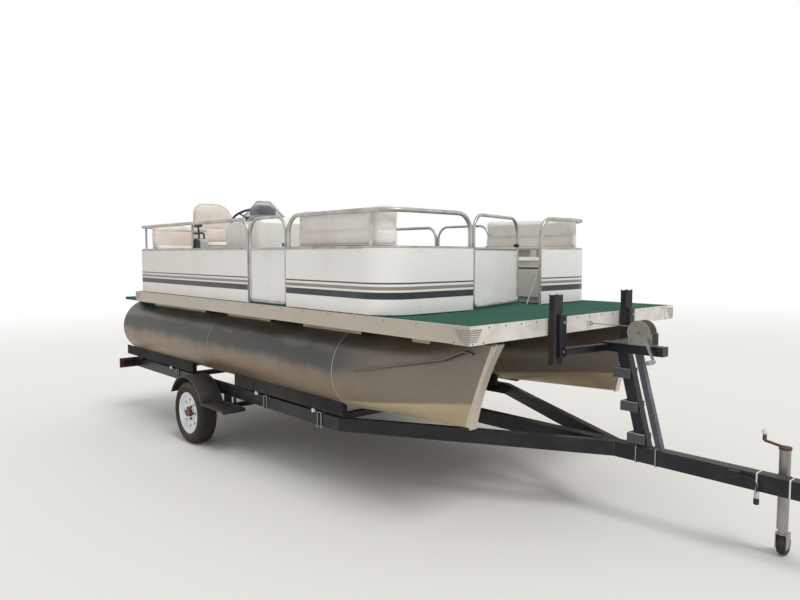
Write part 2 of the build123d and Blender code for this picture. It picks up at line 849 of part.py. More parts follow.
def crowned(clear):
    """The space below the crown of the console's top."""
    middle_y = (console_starboard_y + console_port_y) / 2
    with BuildPart(mode=Mode.PRIVATE) as space:
        with BuildSketch(Plane.YZ.offset(console_aft_x - 100)):
            with BuildLine():
                Line((console_port_y + 100, -1), (console_starboard_y - 100, -1))
                Line((console_starboard_y - 100, -1), (console_starboard_y - 100, console_side_z))
                Line(
                    (console_starboard_y - 100, console_side_z),
                    (console_starboard_y, console_side_z + clear),
                )
                ThreePointArc(
                    (console_starboard_y, console_side_z + clear),
                    (middle_y, console_top_z + clear),
                    (console_port_y, console_side_z + clear),
                )
                Line(
                    (console_port_y, console_side_z + clear),
                    (console_port_y + 100, console_side_z),
                )
                Line((console_port_y + 100, console_side_z), (console_port_y + 100, -1))
            make_face()
        extrude(amount=console_fore_x - console_aft_x + 200)
    return space.part


with BuildPart() as console:
    with BuildSketch(Plane.XZ.offset(-console_port_y)):
        with BuildLine():
            Polyline(
                (console_aft_x + 60, 0),
                (console_aft_x, console_top_z - console_dash_drop),
                (console_aft_x + console_dash_length, console_top_z),
                (console_fore_x - 60, console_top_z),
                (console_fore_x, console_top_z - 60),
                (console_fore_x, 0),
                close=True,
            )
        make_face()
    extrude(amount=console_port_y - console_starboard_y)
    fillet(console.edges().filter_by(Axis.Z).group_by(Axis.X)[-1], 60)
    add(crowned(0), mode=Mode.INTERSECT)
    inner_z = console_top_z - console_dash_drop - 40
    add(
        slab(
            (console_aft_x - 10, console_fore_x - console_wall),
            (console_starboard_y + console_wall, console_port_y - console_wall),
            (0, inner_z),
        ),
        mode=Mode.SUBTRACT,
    )
console_moulding = console.part

# Windscreen: a raked front pane and a pane that runs back along the starboard side
screen_lean = math.atan2(screen_rake, screen_height)
screen_sunk = 60.0
with BuildPart() as screen:
    foot = Vector(screen_foot_x, 0, console_top_z)
    slope = Vector(-math.sin(screen_lean), 0, math.cos(screen_lean))
    length = math.hypot(screen_height, screen_rake)
    face = Plane(foot, x_dir=(0, -1, 0), z_dir=slope.cross(Vector(0, 1, 0)))
    with BuildSketch(face):
        with BuildLine():
            Polyline(
                (-screen_foot_y, -screen_sunk),
                (-screen_foot_y, 0),
                (-screen_head_y, length),
                (-screen_head_end_y, length),
                (-screen_foot_end_y, 0),
                (-screen_foot_end_y, -screen_sunk),
                close=True,
            )
        make_face()
    extrude(amount=screen_thickness / 2, both=True)
    wing_foot = Vector(screen_foot_x, screen_foot_y + screen_thickness / 2, console_top_z)
    wing_head = foot + slope * length + Vector(0, screen_head_y, 0)
    wing_end = wing_foot - Vector(screen_wing_length, 0, 0)
    wing_normal = (wing_head - wing_foot).cross(wing_end - wing_foot).normalized()
    wing_face = Plane(wing_foot, x_dir=Vector(-1, 0, 0), z_dir=wing_normal)
    head_at = wing_face.to_local_coords(wing_head)
    down = screen_sunk if head_at.Y < 0 else -screen_sunk
    with BuildSketch(wing_face):
        with BuildLine():
            Polyline(
                (-screen_sunk / 2, down),
                (0, 0),
                (head_at.X, head_at.Y),
                (screen_wing_length, 0),
                (screen_wing_length, down),
                close=True,
            )
        make_face()
    extrude(amount=screen_thickness / 2, both=True)
    add(crowned(pad_gap), mode=Mode.SUBTRACT)
keep(screen, "windscreen")

with BuildPart() as pod:
    pod_length, pod_width, pod_height = pod_size
    add(slab((pod_x - pod_length / 2, pod_x + pod_length / 2),
             (helm_y - pod_width / 2, helm_y + pod_width / 2),
             (console_side_z, console_top_z + pod_height)))
    chamfer(pod.edges().group_by(Axis.Z)[-1], 40)
    add(crowned(pad_gap), mode=Mode.SUBTRACT)
keep(pod, "instrument_pod")

# Steering wheel: rim, three spokes and hub on a short column
dash_slope = math.degrees(math.atan2(console_dash_drop, console_dash_length))
dash_mid = Vector(
    console_aft_x + console_dash_length * 0.4, helm_y, console_top_z - console_dash_drop * 0.6
)
column_way = Vector(-math.sin(math.radians(dash_slope)), 0, math.cos(math.radians(dash_slope)))
wheel_centre = dash_mid + column_way * (column_length + pin_gap + wheel_hub_thickness / 2)
with BuildPart() as helm:
    add(console_moulding)
    add(rod(tuple(dash_mid - column_way * 20), tuple(dash_mid + column_way * column_length), 24))
keep(helm, "console_shell")
with BuildPart() as steering:
    wheel_plane = Plane(wheel_centre, x_dir=(0, 1, 0), z_dir=column_way)
    with Locations(wheel_plane.location):
        Torus(wheel_rim_radius, wheel_rim_tube)
        Cylinder(wheel_hub_radius, wheel_hub_thickness)
    for angle in (90, 210, 330):
        reach = wheel_plane.from_local_coords(
            Vector(
                wheel_rim_radius * math.cos(math.radians(angle)),
                wheel_rim_radius * math.sin(math.radians(angle)),
                0,
            )
        )
        add(rod(tuple(wheel_centre), tuple(reach), 8))
keep(steering, "steering_wheel")

# Throttle: a control box on the fence beside the chair, with its lever
with BuildPart() as throttle:
    box_length, box_depth, box_height = throttle_box
    box_y = -fence_y + slim_tube / 2 + seat_gap + box_depth / 2
    with Locations((throttle_x, box_y, throttle_z + box_height / 2)):
        Box(box_length, box_depth, box_height)
    fillet(throttle.edges().filter_by(Axis.Y).group_by(Axis.Z)[-1], 30)
    pivot = (throttle_x - 10, box_y, throttle_z + box_height - 20)
    lever_top = (throttle_x - 26, box_y, throttle_z + box_height - 20 + lever_length)
    add(bar([pivot, lever_top], None, 18, square=True))
    grip_z = lever_top[2]
    add(rod((lever_top[0] - grip_half_length, box_y, grip_z),
            (lever_top[0] + grip_half_length, box_y, grip_z), grip_radius))
keep(throttle, "throttle_control")

# Helm chair: a fixed pedestal, and the seat that swivels on it
with BuildPart() as pedestal:
    with Locations((chair_x, chair_y, 0)):
        Cylinder(chair_plate_radius, 8, align=(Align.CENTER, Align.CENTER, Align.MIN))
        Cylinder(
            chair_post_radius,
            chair_seat_z - 30,
            align=(Align.CENTER, Align.CENTER, Align.MIN),
        )
keep(pedestal, "chair_pedestal")

seat_length, seat_width, seat_thick = chair_seat_size
with BuildPart() as chair_frame:
    frame_z = chair_seat_z - 30 + 0.5
    with Locations((chair_x, chair_y, frame_z)):
        Cylinder(90, 22, align=(Align.CENTER, Align.CENTER, Align.MIN))
    arm_half = seat_width / 2 + chair_arm_size[1] / 2 + 4
    for sign in (-1, 1):
        arm_y = chair_y + sign * arm_half
        add(
            bar(
                [
                    (chair_x + 120, chair_y + sign * 40, frame_z + 11),
                    (chair_x + 120, arm_y, frame_z + 11),
                    (chair_x + 120, arm_y, chair_arm_z - 24),
                    (chair_x - 120, arm_y, chair_arm_z - 24),
                ],
                [30, 30],
                18,
            )
        )
        add(
            slab((chair_x - 60, chair_x + 135), (chair_y + sign * 30, chair_y + sign * 50),
                 (frame_z, frame_z + 22))
        )
keep(chair_frame, "chair_frame")
with BuildPart() as chair_pads:
    pad_z = chair_seat_z - 30 + 22 + 0.8
    add(slab((chair_x - seat_length / 2, chair_x + seat_length / 2),
             (chair_y - seat_width / 2, chair_y + seat_width / 2), (pad_z, pad_z + seat_thick)))
    back_x = chair_x - seat_length / 2
    with BuildSketch(Plane.YZ.offset(back_x)):
        with Locations((chair_y, pad_z + seat_thick - 20 + chair_back_height / 2)):
            RectangleRounded(seat_width, chair_back_height, 110)
    extrude(amount=chair_back_thickness)
    for sign in (-1, 1):
        arm_length, arm_wide, arm_tall = chair_arm_size
        arm_y = chair_y + sign * arm_half
        low = chair_arm_z - 24 + 9 + pad_gap
        add(slab((chair_x - 150, chair_x - 150 + arm_length),
                 (arm_y - arm_wide / 2, arm_y + arm_wide / 2), (low, low + arm_tall)))
keep(chair_pads, "chair_pads")

# Trailer rails: straight under the pontoons, then drawn in to meet the drawbar
rail_z = (rail_top_z - rail_height, rail_top_z)
draw_angle = math.atan2(rail_outer_y - rail_width - drawbar_width / 2, rail_meet_x - rail_bend_x)
bend_step = rail_width * math.tan(draw_angle / 2)
with BuildPart() as rails:
    for sign in (-1, 1):
        outer = rail_outer_y
        inner = rail_outer_y - rail_width
        bar_face = drawbar_width / 2
        reach = (inner - bar_face) / math.tan(draw_angle)
        outer_reach = (outer - bar_face) / math.tan(draw_angle)
        with BuildSketch(Plane.XY.offset(rail_z[0])):
            with BuildLine():
                Polyline(
                    (rail_stern_x, sign * outer),
                    (rail_bend_x, sign * outer),
                    (rail_bend_x + outer_reach, sign * bar_face),
                    (rail_bend_x - bend_step + reach, sign * bar_face),
                    (rail_bend_x - bend_step, sign * inner),
                    (rail_stern_x, sign * inner),
                    close=True,
                )
            make_face()
        extrude(amount=rail_height)
        add(slab((rail_stern_x - 12, rail_stern_x + 6),
                 (sign * (rail_outer_y - 60), sign * (lamp_centre_y + 120)),
                 (lamp_z - 34, lamp_z + 34)))
keep(rails, "trailer_rails")

with BuildPart() as drawbar:
    half = drawbar_width / 2
    add(slab((drawbar_start_x, drawbar_end_x), (-half, half), rail_z))
    clamp_end_x, clamp_y, clamp_z = lead_points[0]
    add(slab((clamp_end_x - 60, clamp_end_x), (-half, clamp_y - 12),
             (clamp_z - 20, clamp_z + 20)))
keep(drawbar, "trailer_drawbar")

with BuildPart() as crosses:
    inner = rail_outer_y - rail_width
    cross_z = (rail_z[0] + 10, rail_z[0] + 10 + cross_size)
    for x in cross_places:
        cross_x = (x - cross_size / 2, x + cross_size / 2)
        if cross_x[1] > drawbar_start_x:
            for sign in (-1, 1):
                add(slab(cross_x, (sign * drawbar_width / 2, sign * inner), cross_z))
        else:
            add(slab(cross_x, (-inner, inner), cross_z))
keep(crosses, "trailer_cross_members")

# Bunks: carpeted boards on round tubes that lie across the rails
with BuildPart() as bunk_tubes:
    tube_z = rail_top_z + bunk_tube / 2
    for x in (bunk_tube_stern_x,) + bunk_tube_places:
        half = bunk_tube_half_length
        if x == bunk_tube_stern_x:
            half = rail_outer_y
        add(rod((x, -half, tube_z), (x, half, tube_z), bunk_tube / 2))
keep(bunk_tubes, "bunk_cross_tubes")

bunk_low = rail_top_z + bunk_tube
with BuildPart() as bunks:
    for sign in (-1, 1):
        for start, end in bunk_spans:
            for offset in (-bunk_offset, bunk_offset):
                centre = sign * pontoon_y + offset
                add(slab((start, end), (centre - bunk_width / 2, centre + bunk_width / 2),
                         (bunk_low, bunk_low + bunk_height)))
        with BuildSketch(Plane.YZ.offset(bunk_spans[0][0] - 1)):
            with Locations((sign * pontoon_y, pontoon_axis_z)):
                Circle(pontoon_radius + seat_gap)
        extrude(amount=pontoon_seam_x - bunk_spans[0][0], mode=Mode.SUBTRACT)
keep(bunks, "bunk_boards")

# U-bolts that clamp the cross members to the rails
with BuildPart() as bolts:
    for sign in (-1, 1):
        for x in cross_places[1:]:
            leg_y = sign * (rail_outer_y + bolt_rod / 2 + seat_gap)
            low, high = rail_z[0] - 16, rail_z[1] + 8
            for offset in (-24, 24):
                add(rod((x + offset, leg_y, low), (x + offset, leg_y, high), bolt_rod / 2))
                add(slab((x + offset - 9, x + offset + 9),
                         (sign * (rail_outer_y - 12), sign * (rail_outer_y + bolt_rod + 2)),
                         (rail_z[0] - 8, rail_z[0])))
            add(slab((x - 24, x + 24), (sign * (rail_outer_y - 30), leg_y), (rail_z[1], high)))
keep(bolts, "frame_u_bolts")

# Axle beam, stub axles and leaf springs
spring_low = axle_z + axle_size / 2 + spring_seat
spring_end_z = spring_low + spring_rise
with BuildPart() as leaf:
    with BuildSketch(Plane.XZ.offset(-spring_width / 2)):
        with BuildLine():
            span_aft = axle_x - spring_half_span
            span_fore = axle_x + spring_half_span
            top_z = spring_end_z + spring_thickness
            ThreePointArc((span_aft, spring_end_z), (axle_x, spring_low), (span_fore, spring_end_z))
            Line((span_fore, spring_end_z), (span_fore, top_z))
            ThreePointArc(
                (span_fore, top_z), (axle_x, spring_low + spring_thickness), (span_aft, top_z)
            )
            Line((span_aft, top_z), (span_aft, spring_end_z))
        make_face()
    extrude(amount=spring_width)
    hanger_half_y = spring_width / 2 + hanger_wall
    for hanger_x in (span_aft, span_fore):
        add(slab((hanger_x - hanger_length / 2, hanger_x + hanger_length / 2),
                 (-hanger_half_y, hanger_half_y),
                 (spring_end_z - hanger_drop, rail_top_z - rail_height)))
    # The seat that clamps the leaves to the beam
    add(slab((axle_x - axle_size, axle_x + axle_size), (-hanger_half_y, hanger_half_y),
             (spring_low - spring_seat, spring_low + spring_thickness / 2)))
with BuildPart() as axle:
    half = axle_size / 2
    add(slab((axle_x - half, axle_x + half), (-axle_end_y, axle_end_y),
             (axle_z - half, axle_z + half)))
    for sign in (-1, 1):
        stub_end = sign * (tyre_centre_y + rim_disc_y - 6)
        beam_end = sign * (axle_end_y - 10)
        add(rod((axle_x, beam_end, axle_z), (axle_x, stub_end, axle_z), stub_radius))
        add(leaf.part.moved(Location((0, sign * (rail_outer_y - rail_width / 2), 0))))
keep(axle, "axle_and_springs")

# Road wheels: tyre and steel rim with its vents and hub, one body a side
for side, sign in (("starboard", -1), ("port", 1)):
    wheel_plane = Plane((axle_x, sign * tyre_centre_y, axle_z), x_dir=(1, 0, 0), z_dir=(0, sign, 0))
    place = wheel_plane.location
    half = tyre_width / 2
    with BuildPart() as tyre:
        with BuildSketch(Plane.XZ):
            with BuildLine():
                Polyline(
                    (rim_radius + seat_gap, -half + 22),
                    (rim_flange_radius + seat_gap, -half + 20),
                    (rim_flange_radius + 8, -half + 10),
                    (tyre_radius - 62, -half),
                    (tyre_radius - 20, -half + 10),
                    (tyre_radius - 4, -half + 26),
                    (tyre_radius, -half + 50),
                    (tyre_radius, half - 50),
                    (tyre_radius - 4, half - 26),
                    (tyre_radius - 20, half - 10),
                    (tyre_radius - 62, half),
                    (rim_flange_radius + 8, half - 10),
                    (rim_flange_radius + seat_gap, half - 20),
                    (rim_radius + seat_gap, half - 22),
                    close=True,
                )
            make_face()
        revolve(axis=Axis.Z)
    tyre.part = tyre.part.moved(place)
    keep(tyre, f"{side}_tyre")
    with BuildPart() as rim:
        with BuildSketch(Plane.XZ):
            with BuildLine():
                Polyline(
                    (rim_radius - 5, -half + 14),
                    (rim_flange_radius, -half + 14),
                    (rim_flange_radius, -half + 19),
                    (rim_radius, -half + 21.5),
                    (rim_radius, half - 21.5),
                    (rim_flange_radius, half - 19),
                    (rim_flange_radius, half - 14),
                    (rim_radius - 5, half - 14),
                    (rim_radius - 30, rim_disc_y + 14),
                    (rim_radius - 80, rim_disc_y + 16),
                    (hub_radius + 34, rim_disc_y + rim_dish),
                    (stub_radius + 0.5, rim_disc_y + rim_dish),
                    (stub_radius + 0.5, rim_disc_y + 2),
                    (hub_radius + 34, rim_disc_y + 2),
                    (rim_radius - 80, rim_disc_y + 8),
                    (rim_radius - 34, rim_disc_y + 6),
                    (rim_radius - 12, rim_disc_y - 10),
                    close=True,
                )
            make_face()
        revolve(axis=Axis.Z)
        with BuildSketch(Plane.XY.offset(rim_disc_y - 20)):
            with PolarLocations(rim_radius - 62, vent_count):
                RegularPolygon(26, 3, rotation=180)
        extrude(amount=60, mode=Mode.SUBTRACT)
        with BuildSketch(Plane.XY.offset(rim_disc_y + rim_dish)):
            Circle(hub_radius - 20)
        extrude(amount=42)
        with BuildSketch(Plane.XY.offset(rim_disc_y + rim_dish)):
            with PolarLocations(hub_radius + 8, 5):
                RegularPolygon(10, 6)
        extrude(amount=14)
        with BuildSketch(Plane.XY.offset(rim_disc_y + 2 - hub_length)):
            Circle(hub_radius)
            Circle(stub_radius + 0.5, mode=Mode.SUBTRACT)
        extrude(amount=hub_length + 1)
    rim.part = rim.part.moved(place)
    keep(rim, f"{side}_wheel_rim")

# Mudguards: a curved sheet over each tyre that runs on into a flat step
guard_radius = tyre_radius + guard_gap
with BuildPart() as guards:
    for sign in (-1, 1):
        inner, outer = sign * guard_inner_y, sign * guard_outer_y
        aft = math.radians(guard_aft_deg)
        fore = math.radians(guard_fore_deg)
        top = (aft + fore) / 2

        def guard_point(radius, angle):
            return (axle_x + radius * math.cos(angle), axle_z + radius * math.sin(angle))

        outside = guard_radius + guard_wall
        step_z = guard_point(guard_radius, fore)[1]
        step_end = guard_point(guard_radius, fore)[0] + guard_step_length
        with BuildSketch(Plane.XZ.offset(-max(inner, outer))):
            with BuildLine():
                ThreePointArc(
                    guard_point(guard_radius, aft),
                    guard_point(guard_radius, top),
                    guard_point(guard_radius, fore),
                )
                Line(guard_point(guard_radius, fore), (step_end, step_z))
                Line((step_end, step_z), (step_end, step_z + guard_wall))
                Line((step_end, step_z + guard_wall), guard_point(outside, fore))
                ThreePointArc(
                    guard_point(outside, fore),
                    guard_point(outside, top),
                    guard_point(outside, aft),
                )
                Line(guard_point(outside, aft), guard_point(guard_radius, aft))
            make_face()
        extrude(amount=abs(outer - inner))
        # One angle bracket under the crown and one under the step, both on the rail's side
        crown_z = axle_z + guard_radius
        for bracket_x, under_z in ((axle_x, crown_z), (step_end - guard_step_length / 2, step_z)):
            bracket_x_span = (bracket_x - guard_bracket / 2, bracket_x + guard_bracket / 2)
            face_y = sign * rail_outer_y
            leg_z = (min(under_z - guard_wall, rail_top_z - rail_height + guard_bracket),
                     max(under_z, rail_top_z - guard_bracket))
            add(slab(bracket_x_span, (face_y, face_y + sign * guard_bracket_wall), leg_z))
            add(slab(bracket_x_span, (face_y, inner + sign * guard_bracket_reach),
                     (under_z - guard_bracket_wall, under_z + guard_wall / 2)))
keep(guards, "mudguards")

# Bow stop: two padded posts on angle brackets that the deck edge leans on
with BuildPart() as stop_posts:
    for sign in (-1, 1):
        centre = sign * stop_post_offset_y
        add(slab((stop_post_aft_x, stop_post_aft_x + stop_post_depth),
                 (centre - stop_post_width / 2, centre + stop_post_width / 2),
                 (stop_post_bottom_z, stop_post_top_z)))
        fillet(stop_posts.edges().filter_by(Axis.Z).group_by(Axis.X)[0], 8)
keep(stop_posts, "bow_stop_posts")

with BuildPart() as stop_frame:
    front_x = stop_post_aft_x + stop_post_depth
    beam_z = (beam_top_z - beam_height, beam_top_z)
    for sign in (-1, 1):
        centre = sign * (stop_post_offset_y - 10)
        add(slab((front_x, front_x + channel_depth),
                 (centre - channel_width / 2, centre + channel_width / 2),
                 (channel_bottom_z, channel_top_z)))
        add(
            bar(
                [
                    (front_x + channel_depth - 2, centre, beam_z[0] + 26),
                    (arm_meet_x + 30, 0, beam_z[0] + 26),
                ],
                None,
                44,
                square=True,
                wide=44,
            )
        )
    add(slab((arm_meet_x, beam_end_x), (-beam_width / 2, beam_width / 2), beam_z))
    add(slab((front_x - 100, front_x), (-half_width, half_width), (beam_z[0] - 60, beam_z[1])),
        mode=Mode.SUBTRACT)
keep(stop_frame, "bow_stop_frame")

# Winch post: a channel that leans aft, its brace and three grip blocks


def leaning(top, foot, size, wide):
    """A square post between two points of the middle plane, cut level at both ends."""
    with BuildPart(mode=Mode.PRIVATE) as post:
        with BuildSketch(Plane.XZ.offset(-wide / 2)):
            with BuildLine():
                Polyline(
                    (top[0] - size / 2, top[1]),
                    (top[0] + size / 2, top[1]),
                    (foot[0] + size / 2, foot[1]),
                    (foot[0] - size / 2, foot[1]),
                    close=True,
                )
            make_face()
        extrude(amount=wide)
    return post.part


with BuildPart() as winch_post:
    add(leaning(winch_post_top, winch_post_foot, winch_post_size, 60))
keep(winch_post, "winch_post")
with BuildPart() as steps:
    slope = (winch_post_foot[0] - winch_post_top[0]) / (winch_post_top[1] - winch_post_foot[1])
    for z in step_heights:
        post_aft = winch_post_top[0] + (winch_post_top[1] - z) * slope - winch_post_size / 2
        length, wide, tall = step_size
        add(slab((post_aft - 45, post_aft + length - 45), (-wide / 2, wide / 2),
                 (z - tall / 2, z + tall / 2)))
    add(leaning(winch_post_top, winch_post_foot, winch_post_size, 60), mode=Mode.SUBTRACT)
    add(leaning((brace_top[0] + 8, brace_top[1]), (brace_foot[0] + 8, brace_foot[1]),
                brace_size, 40))
keep(steps, "winch_brace_and_blocks")

# Winch: side plates, drum with its cable, handle, and the taut cable to the bow
winch_mid_x = winch_aft_x + winch_length / 2
drum_z = beam_top_z + winch_radius
with BuildPart() as winch_frame:
    plate_y = winch_inner_width / 2
    for sign in (-1, 1):
        with BuildSketch(Plane.XZ.offset(-sign * plate_y - (winch_plate if sign > 0 else 0))):
            with Locations((winch_mid_x - 10, drum_z)):
                Circle(winch_radius - 2)
            with Locations((winch_mid_x, beam_top_z + 40)):
                Rectangle(winch_length, 80)
        extrude(amount=winch_plate)
    add(slab((winch_aft_x, winch_aft_x + winch_length), (-plate_y - 5, plate_y + 5),
             (beam_top_z, beam_top_z + 5)))
    shaft_x = winch_aft_x + winch_length - 28
    shaft_z = beam_top_z + 42
    shaft_y = -plate_y - winch_plate
    add(rod((shaft_x, shaft_y - 34, shaft_z), (shaft_x, shaft_y + 1, shaft_z), 9))
    arm_end = (shaft_x + 60, shaft_y - 30, shaft_z - winch_arm - 40)
    add(bar([(shaft_x, shaft_y - 30, shaft_z), arm_end], None, 16, square=True, wide=8))
    add(rod(arm_end, (arm_end[0], arm_end[1] - 80, arm_end[2]), 12))
keep(winch_frame, "winch_frame")
with BuildPart() as drum:
    add(rod((winch_mid_x - 10, -plate_y + 0.5, drum_z), (winch_mid_x - 10, plate_y - 0.5, drum_z),
            drum_radius))
keep(drum, "winch_drum")
with BuildPart() as cable:
    cable_z = drum_z + drum_radius + cable_radius + seat_gap
    add(rod((deck_length + 5, 0, -60), (winch_mid_x - 10, 0, cable_z), cable_radius))
keep(cable, "winch_cable")

# Coupling on the end of the drawbar
with BuildPart() as coupling:
    start = drawbar_end_x
    add(slab((start - 90, start + 60), (-36, 36), (rail_top_z, rail_top_z + 34)))
    with BuildSketch(Plane.XZ.offset(-38)):
        with BuildLine():
            Polyline(
                (start + seat_gap, rail_top_z),
                (start + 60, rail_top_z + 34),
                (start + coupling_length - 60, rail_top_z + 26),
                (start + coupling_length, rail_top_z - 6),
                (start + coupling_length, rail_top_z - 44),
                (start + coupling_length - 80, rail_top_z - 52),
                (start + seat_gap, rail_top_z - 52),
                close=True,
            )
        make_face()
    extrude(amount=76)
    socket_x = start + coupling_length - 42
    with BuildSketch(Plane.XY.offset(rail_top_z - 60)):
        with Locations((socket_x, 0)):
            Circle(coupling_socket_radius)
    extrude(amount=46, mode=Mode.SUBTRACT)
    add(rod((start + 90, 0, rail_top_z + 28), (start + 30, 0, rail_top_z + 92), 9))
keep(coupling, "tow_coupling")

# Jockey stand: clamp and tubes fixed to the drawbar
with BuildPart() as jockey:
    low, high = jockey_outer_bottom_z, jockey_outer_top_z
    add(rod((jockey_x, jockey_y, low), (jockey_x, jockey_y, high), jockey_outer_radius))
    add(slab((jockey_x - 45, jockey_x + 45), (drawbar_width / 2, jockey_y),
             (rail_top_z - 74, rail_top_z - 20)))
    ground_slope = math.radians(nose_down_deg)
    floor_z = (
        axle_z
        - tyre_radius / math.cos(ground_slope)
        + (jockey_x - axle_x) * math.tan(ground_slope)
    )
    castor_z = floor_z + jockey_wheel_radius / math.cos(ground_slope)
    fork_top_z = castor_z + jockey_wheel_radius + 7
    add(rod((jockey_x, jockey_y, fork_top_z + 8.5), (jockey_x, jockey_y, low), jockey_inner_radius))
keep(jockey, "jockey_tubes")

with BuildPart() as crank:
    cap_z = jockey_outer_top_z + seat_gap
    add(rod((jockey_x, jockey_y, cap_z), (jockey_x, jockey_y, cap_z + 14), jockey_outer_radius + 4))
    elbow = (jockey_x - crank_throw, jockey_y, cap_z + 14 + crank_drop + 8)
    add(rod((jockey_x, jockey_y, cap_z + 10), elbow, 8))
    add(rod(elbow, (elbow[0], elbow[1], elbow[2] + 64), knob_radius))
keep(crank, "jockey_crank")

with BuildPart() as fork:
    half = jockey_wheel_width / 2 + 3
    add(rod((jockey_x, jockey_y, fork_top_z), (jockey_x, jockey_y, fork_top_z + 8), 26))
    wheel_y = jockey_y + jockey_trail
    for sign in (-1, 1):
        near = jockey_x + sign * half
        far = near + sign * jockey_fork_wall
        add(slab((near, far), (jockey_y - 18, wheel_y + 16), (castor_z - 14, fork_top_z + 8)))
    add(slab((jockey_x - half - 1, jockey_x + half + 1), (jockey_y - 18, wheel_y + 16),
             (fork_top_z, fork_top_z + 8)))
    add(rod((jockey_x - half - 8, wheel_y, castor_z), (jockey_x + half + 8, wheel_y, castor_z),
            jockey_axle_radius))
keep(fork, "jockey_fork")

with BuildPart() as jockey_wheel:
    half = jockey_wheel_width / 2
    shoulder = jockey_wheel_radius - jockey_crown
    bore = jockey_axle_radius + seat_gap
    with BuildSketch(Plane.XZ):
        with BuildLine():
            Line((bore, -half), (shoulder, -half))
            ThreePointArc((shoulder, -half), (jockey_wheel_radius, 0), (shoulder, half))
            Line((shoulder, half), (bore, half))
            Line((bore, half), (bore, -half))
        make_face()
    revolve(axis=Axis.Z)
    castor_plane = Plane((jockey_x, wheel_y, castor_z), x_dir=(0, 1, 0), z_dir=(1, 0, 0))
jockey_wheel.part = jockey_wheel.part.moved(castor_plane.location)
keep(jockey_wheel, "jockey_wheel")

# Tail lamps on drop brackets at the stern ends of the rails
with BuildPart() as lamps:
    for sign in (-1, 1):
        thick, wide, tall = lamp_size
        centre = sign * lamp_centre_y
        add(slab((rail_stern_x - 12 - thick, rail_stern_x - 12),
                 (centre - wide / 2, centre + wide / 2), (lamp_z - tall / 2, lamp_z + tall / 2)))
keep(lamps, "tail_lamps")

# Trailer plug and its lead, hung along the drawbar
with BuildPart() as plug:
    plug_x, plug_y, plug_top = lead_points[-1]
    add(rod((plug_x, plug_y, plug_top - plug_length), (plug_x, plug_y, plug_top), plug_radius))
keep(plug, "trailer_plug")
lead_radii = []
for before, point, after in zip(lead_points, lead_points[1:], lead_points[2:]):
    ahead = Vector(*after) - Vector(*point)
    behind = Vector(*point) - Vector(*before)
    turn = math.radians(ahead.get_angle(behind))
    lead_radii.append(0.45 * min(ahead.length, behind.length) / math.tan(turn / 2))
print("lead radii mm:", [round(radius, 1) for radius in lead_radii])
with BuildPart() as lead:
    add(bar(lead_points, lead_radii, 2 * lead_radius))
keep(lead, "trailer_lead")
# Parking: tip everything nose down, then stand it on the floor over its own middle
tilt = Location((0, 0, 0), (0, nose_down_deg, 0))
spans = [part.moved(tilt).bounding_box() for part in pieces.values()]
middle_x = (min(span.min.X for span in spans) + max(span.max.X for span in spans)) / 2
wheel_middle = tilt * Location((axle_x, 0, axle_z))
floor = wheel_middle.position.Z - tyre_radius
parked = Location((-middle_x, 0, -floor)) * tilt
print("parked shift:", round(-middle_x, 4), round(-floor, 4))
for label, part in pieces.items():
    standing = part.moved(parked)
    standing.label = label
    export_step(standing, f"parts/{label}.step")
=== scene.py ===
# %% [markdown]
# # A pontoon boat on its trailer
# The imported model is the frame: every solid piece stands at its real place, in metres.
# This script gives each of those pieces its finish, and adds what is too fine or too soft
# for a solid: upholstery, tread, bolts, welds, screws, gauges and worn carpet.

# %% Load the frame
import bpy
import json
import math
import numpy as np
from mathutils import Matrix


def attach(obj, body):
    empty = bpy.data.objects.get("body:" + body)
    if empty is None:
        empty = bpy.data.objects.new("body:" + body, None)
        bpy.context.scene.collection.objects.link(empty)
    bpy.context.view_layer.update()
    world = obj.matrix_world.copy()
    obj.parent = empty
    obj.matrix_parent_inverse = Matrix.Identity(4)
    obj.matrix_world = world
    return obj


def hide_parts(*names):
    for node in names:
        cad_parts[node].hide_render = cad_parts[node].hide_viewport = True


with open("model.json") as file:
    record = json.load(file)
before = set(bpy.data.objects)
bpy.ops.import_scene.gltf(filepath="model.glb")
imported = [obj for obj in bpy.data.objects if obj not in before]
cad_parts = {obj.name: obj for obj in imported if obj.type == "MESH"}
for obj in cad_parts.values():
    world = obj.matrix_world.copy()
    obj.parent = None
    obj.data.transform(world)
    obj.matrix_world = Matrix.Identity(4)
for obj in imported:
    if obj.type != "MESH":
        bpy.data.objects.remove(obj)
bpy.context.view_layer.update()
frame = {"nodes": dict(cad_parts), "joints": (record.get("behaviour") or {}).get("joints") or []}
nodes = frame["nodes"]
print("nodes in the frame:", len(nodes))

# %% [markdown]
# The boat stands a little nose down, because the trailer rests on its jockey wheel.
# A level drawing is easier to work in, so all places below are in the deck's own frame:
# x forward from the stern edge, y to port from the middle, z up from the carpet.
# The chair's swivel is upright on the deck, so its axis and place tell how the deck stands.

# %% From the deck's frame to the floor's
swivel = next(joint for joint in frame["joints"] if joint["name"] == "chair_swivel")
CHAIR_ON_DECK = np.array([0.94, -0.67, 0.4])
up = np.array(swivel["axis"], float)
up /= np.linalg.norm(up)
ahead = np.array([up[2], 0.0, -up[0]])
DECK_TURN = np.column_stack([ahead, [0.0, 1.0, 0.0], up])
DECK_PLACE = np.array(swivel["pos_m"], float) - DECK_TURN @ CHAIR_ON_DECK
NOSE_DOWN = math.atan2(up[0], up[2])


def stand(points):
    """Deck points to floor points: turned nose down, then moved."""
    return np.asarray(points, float) @ DECK_TURN.T + DECK_PLACE


print("nose down, degrees:", round(math.degrees(NOSE_DOWN), 3))
print("the deck's zero on the floor's frame:", DECK_PLACE.round(4))

# %% [markdown]
# The camera was found from the deck's corners in the photograph: it stood off the
# starboard bow, at about half the height of the fence. The film back is 36 mm across.

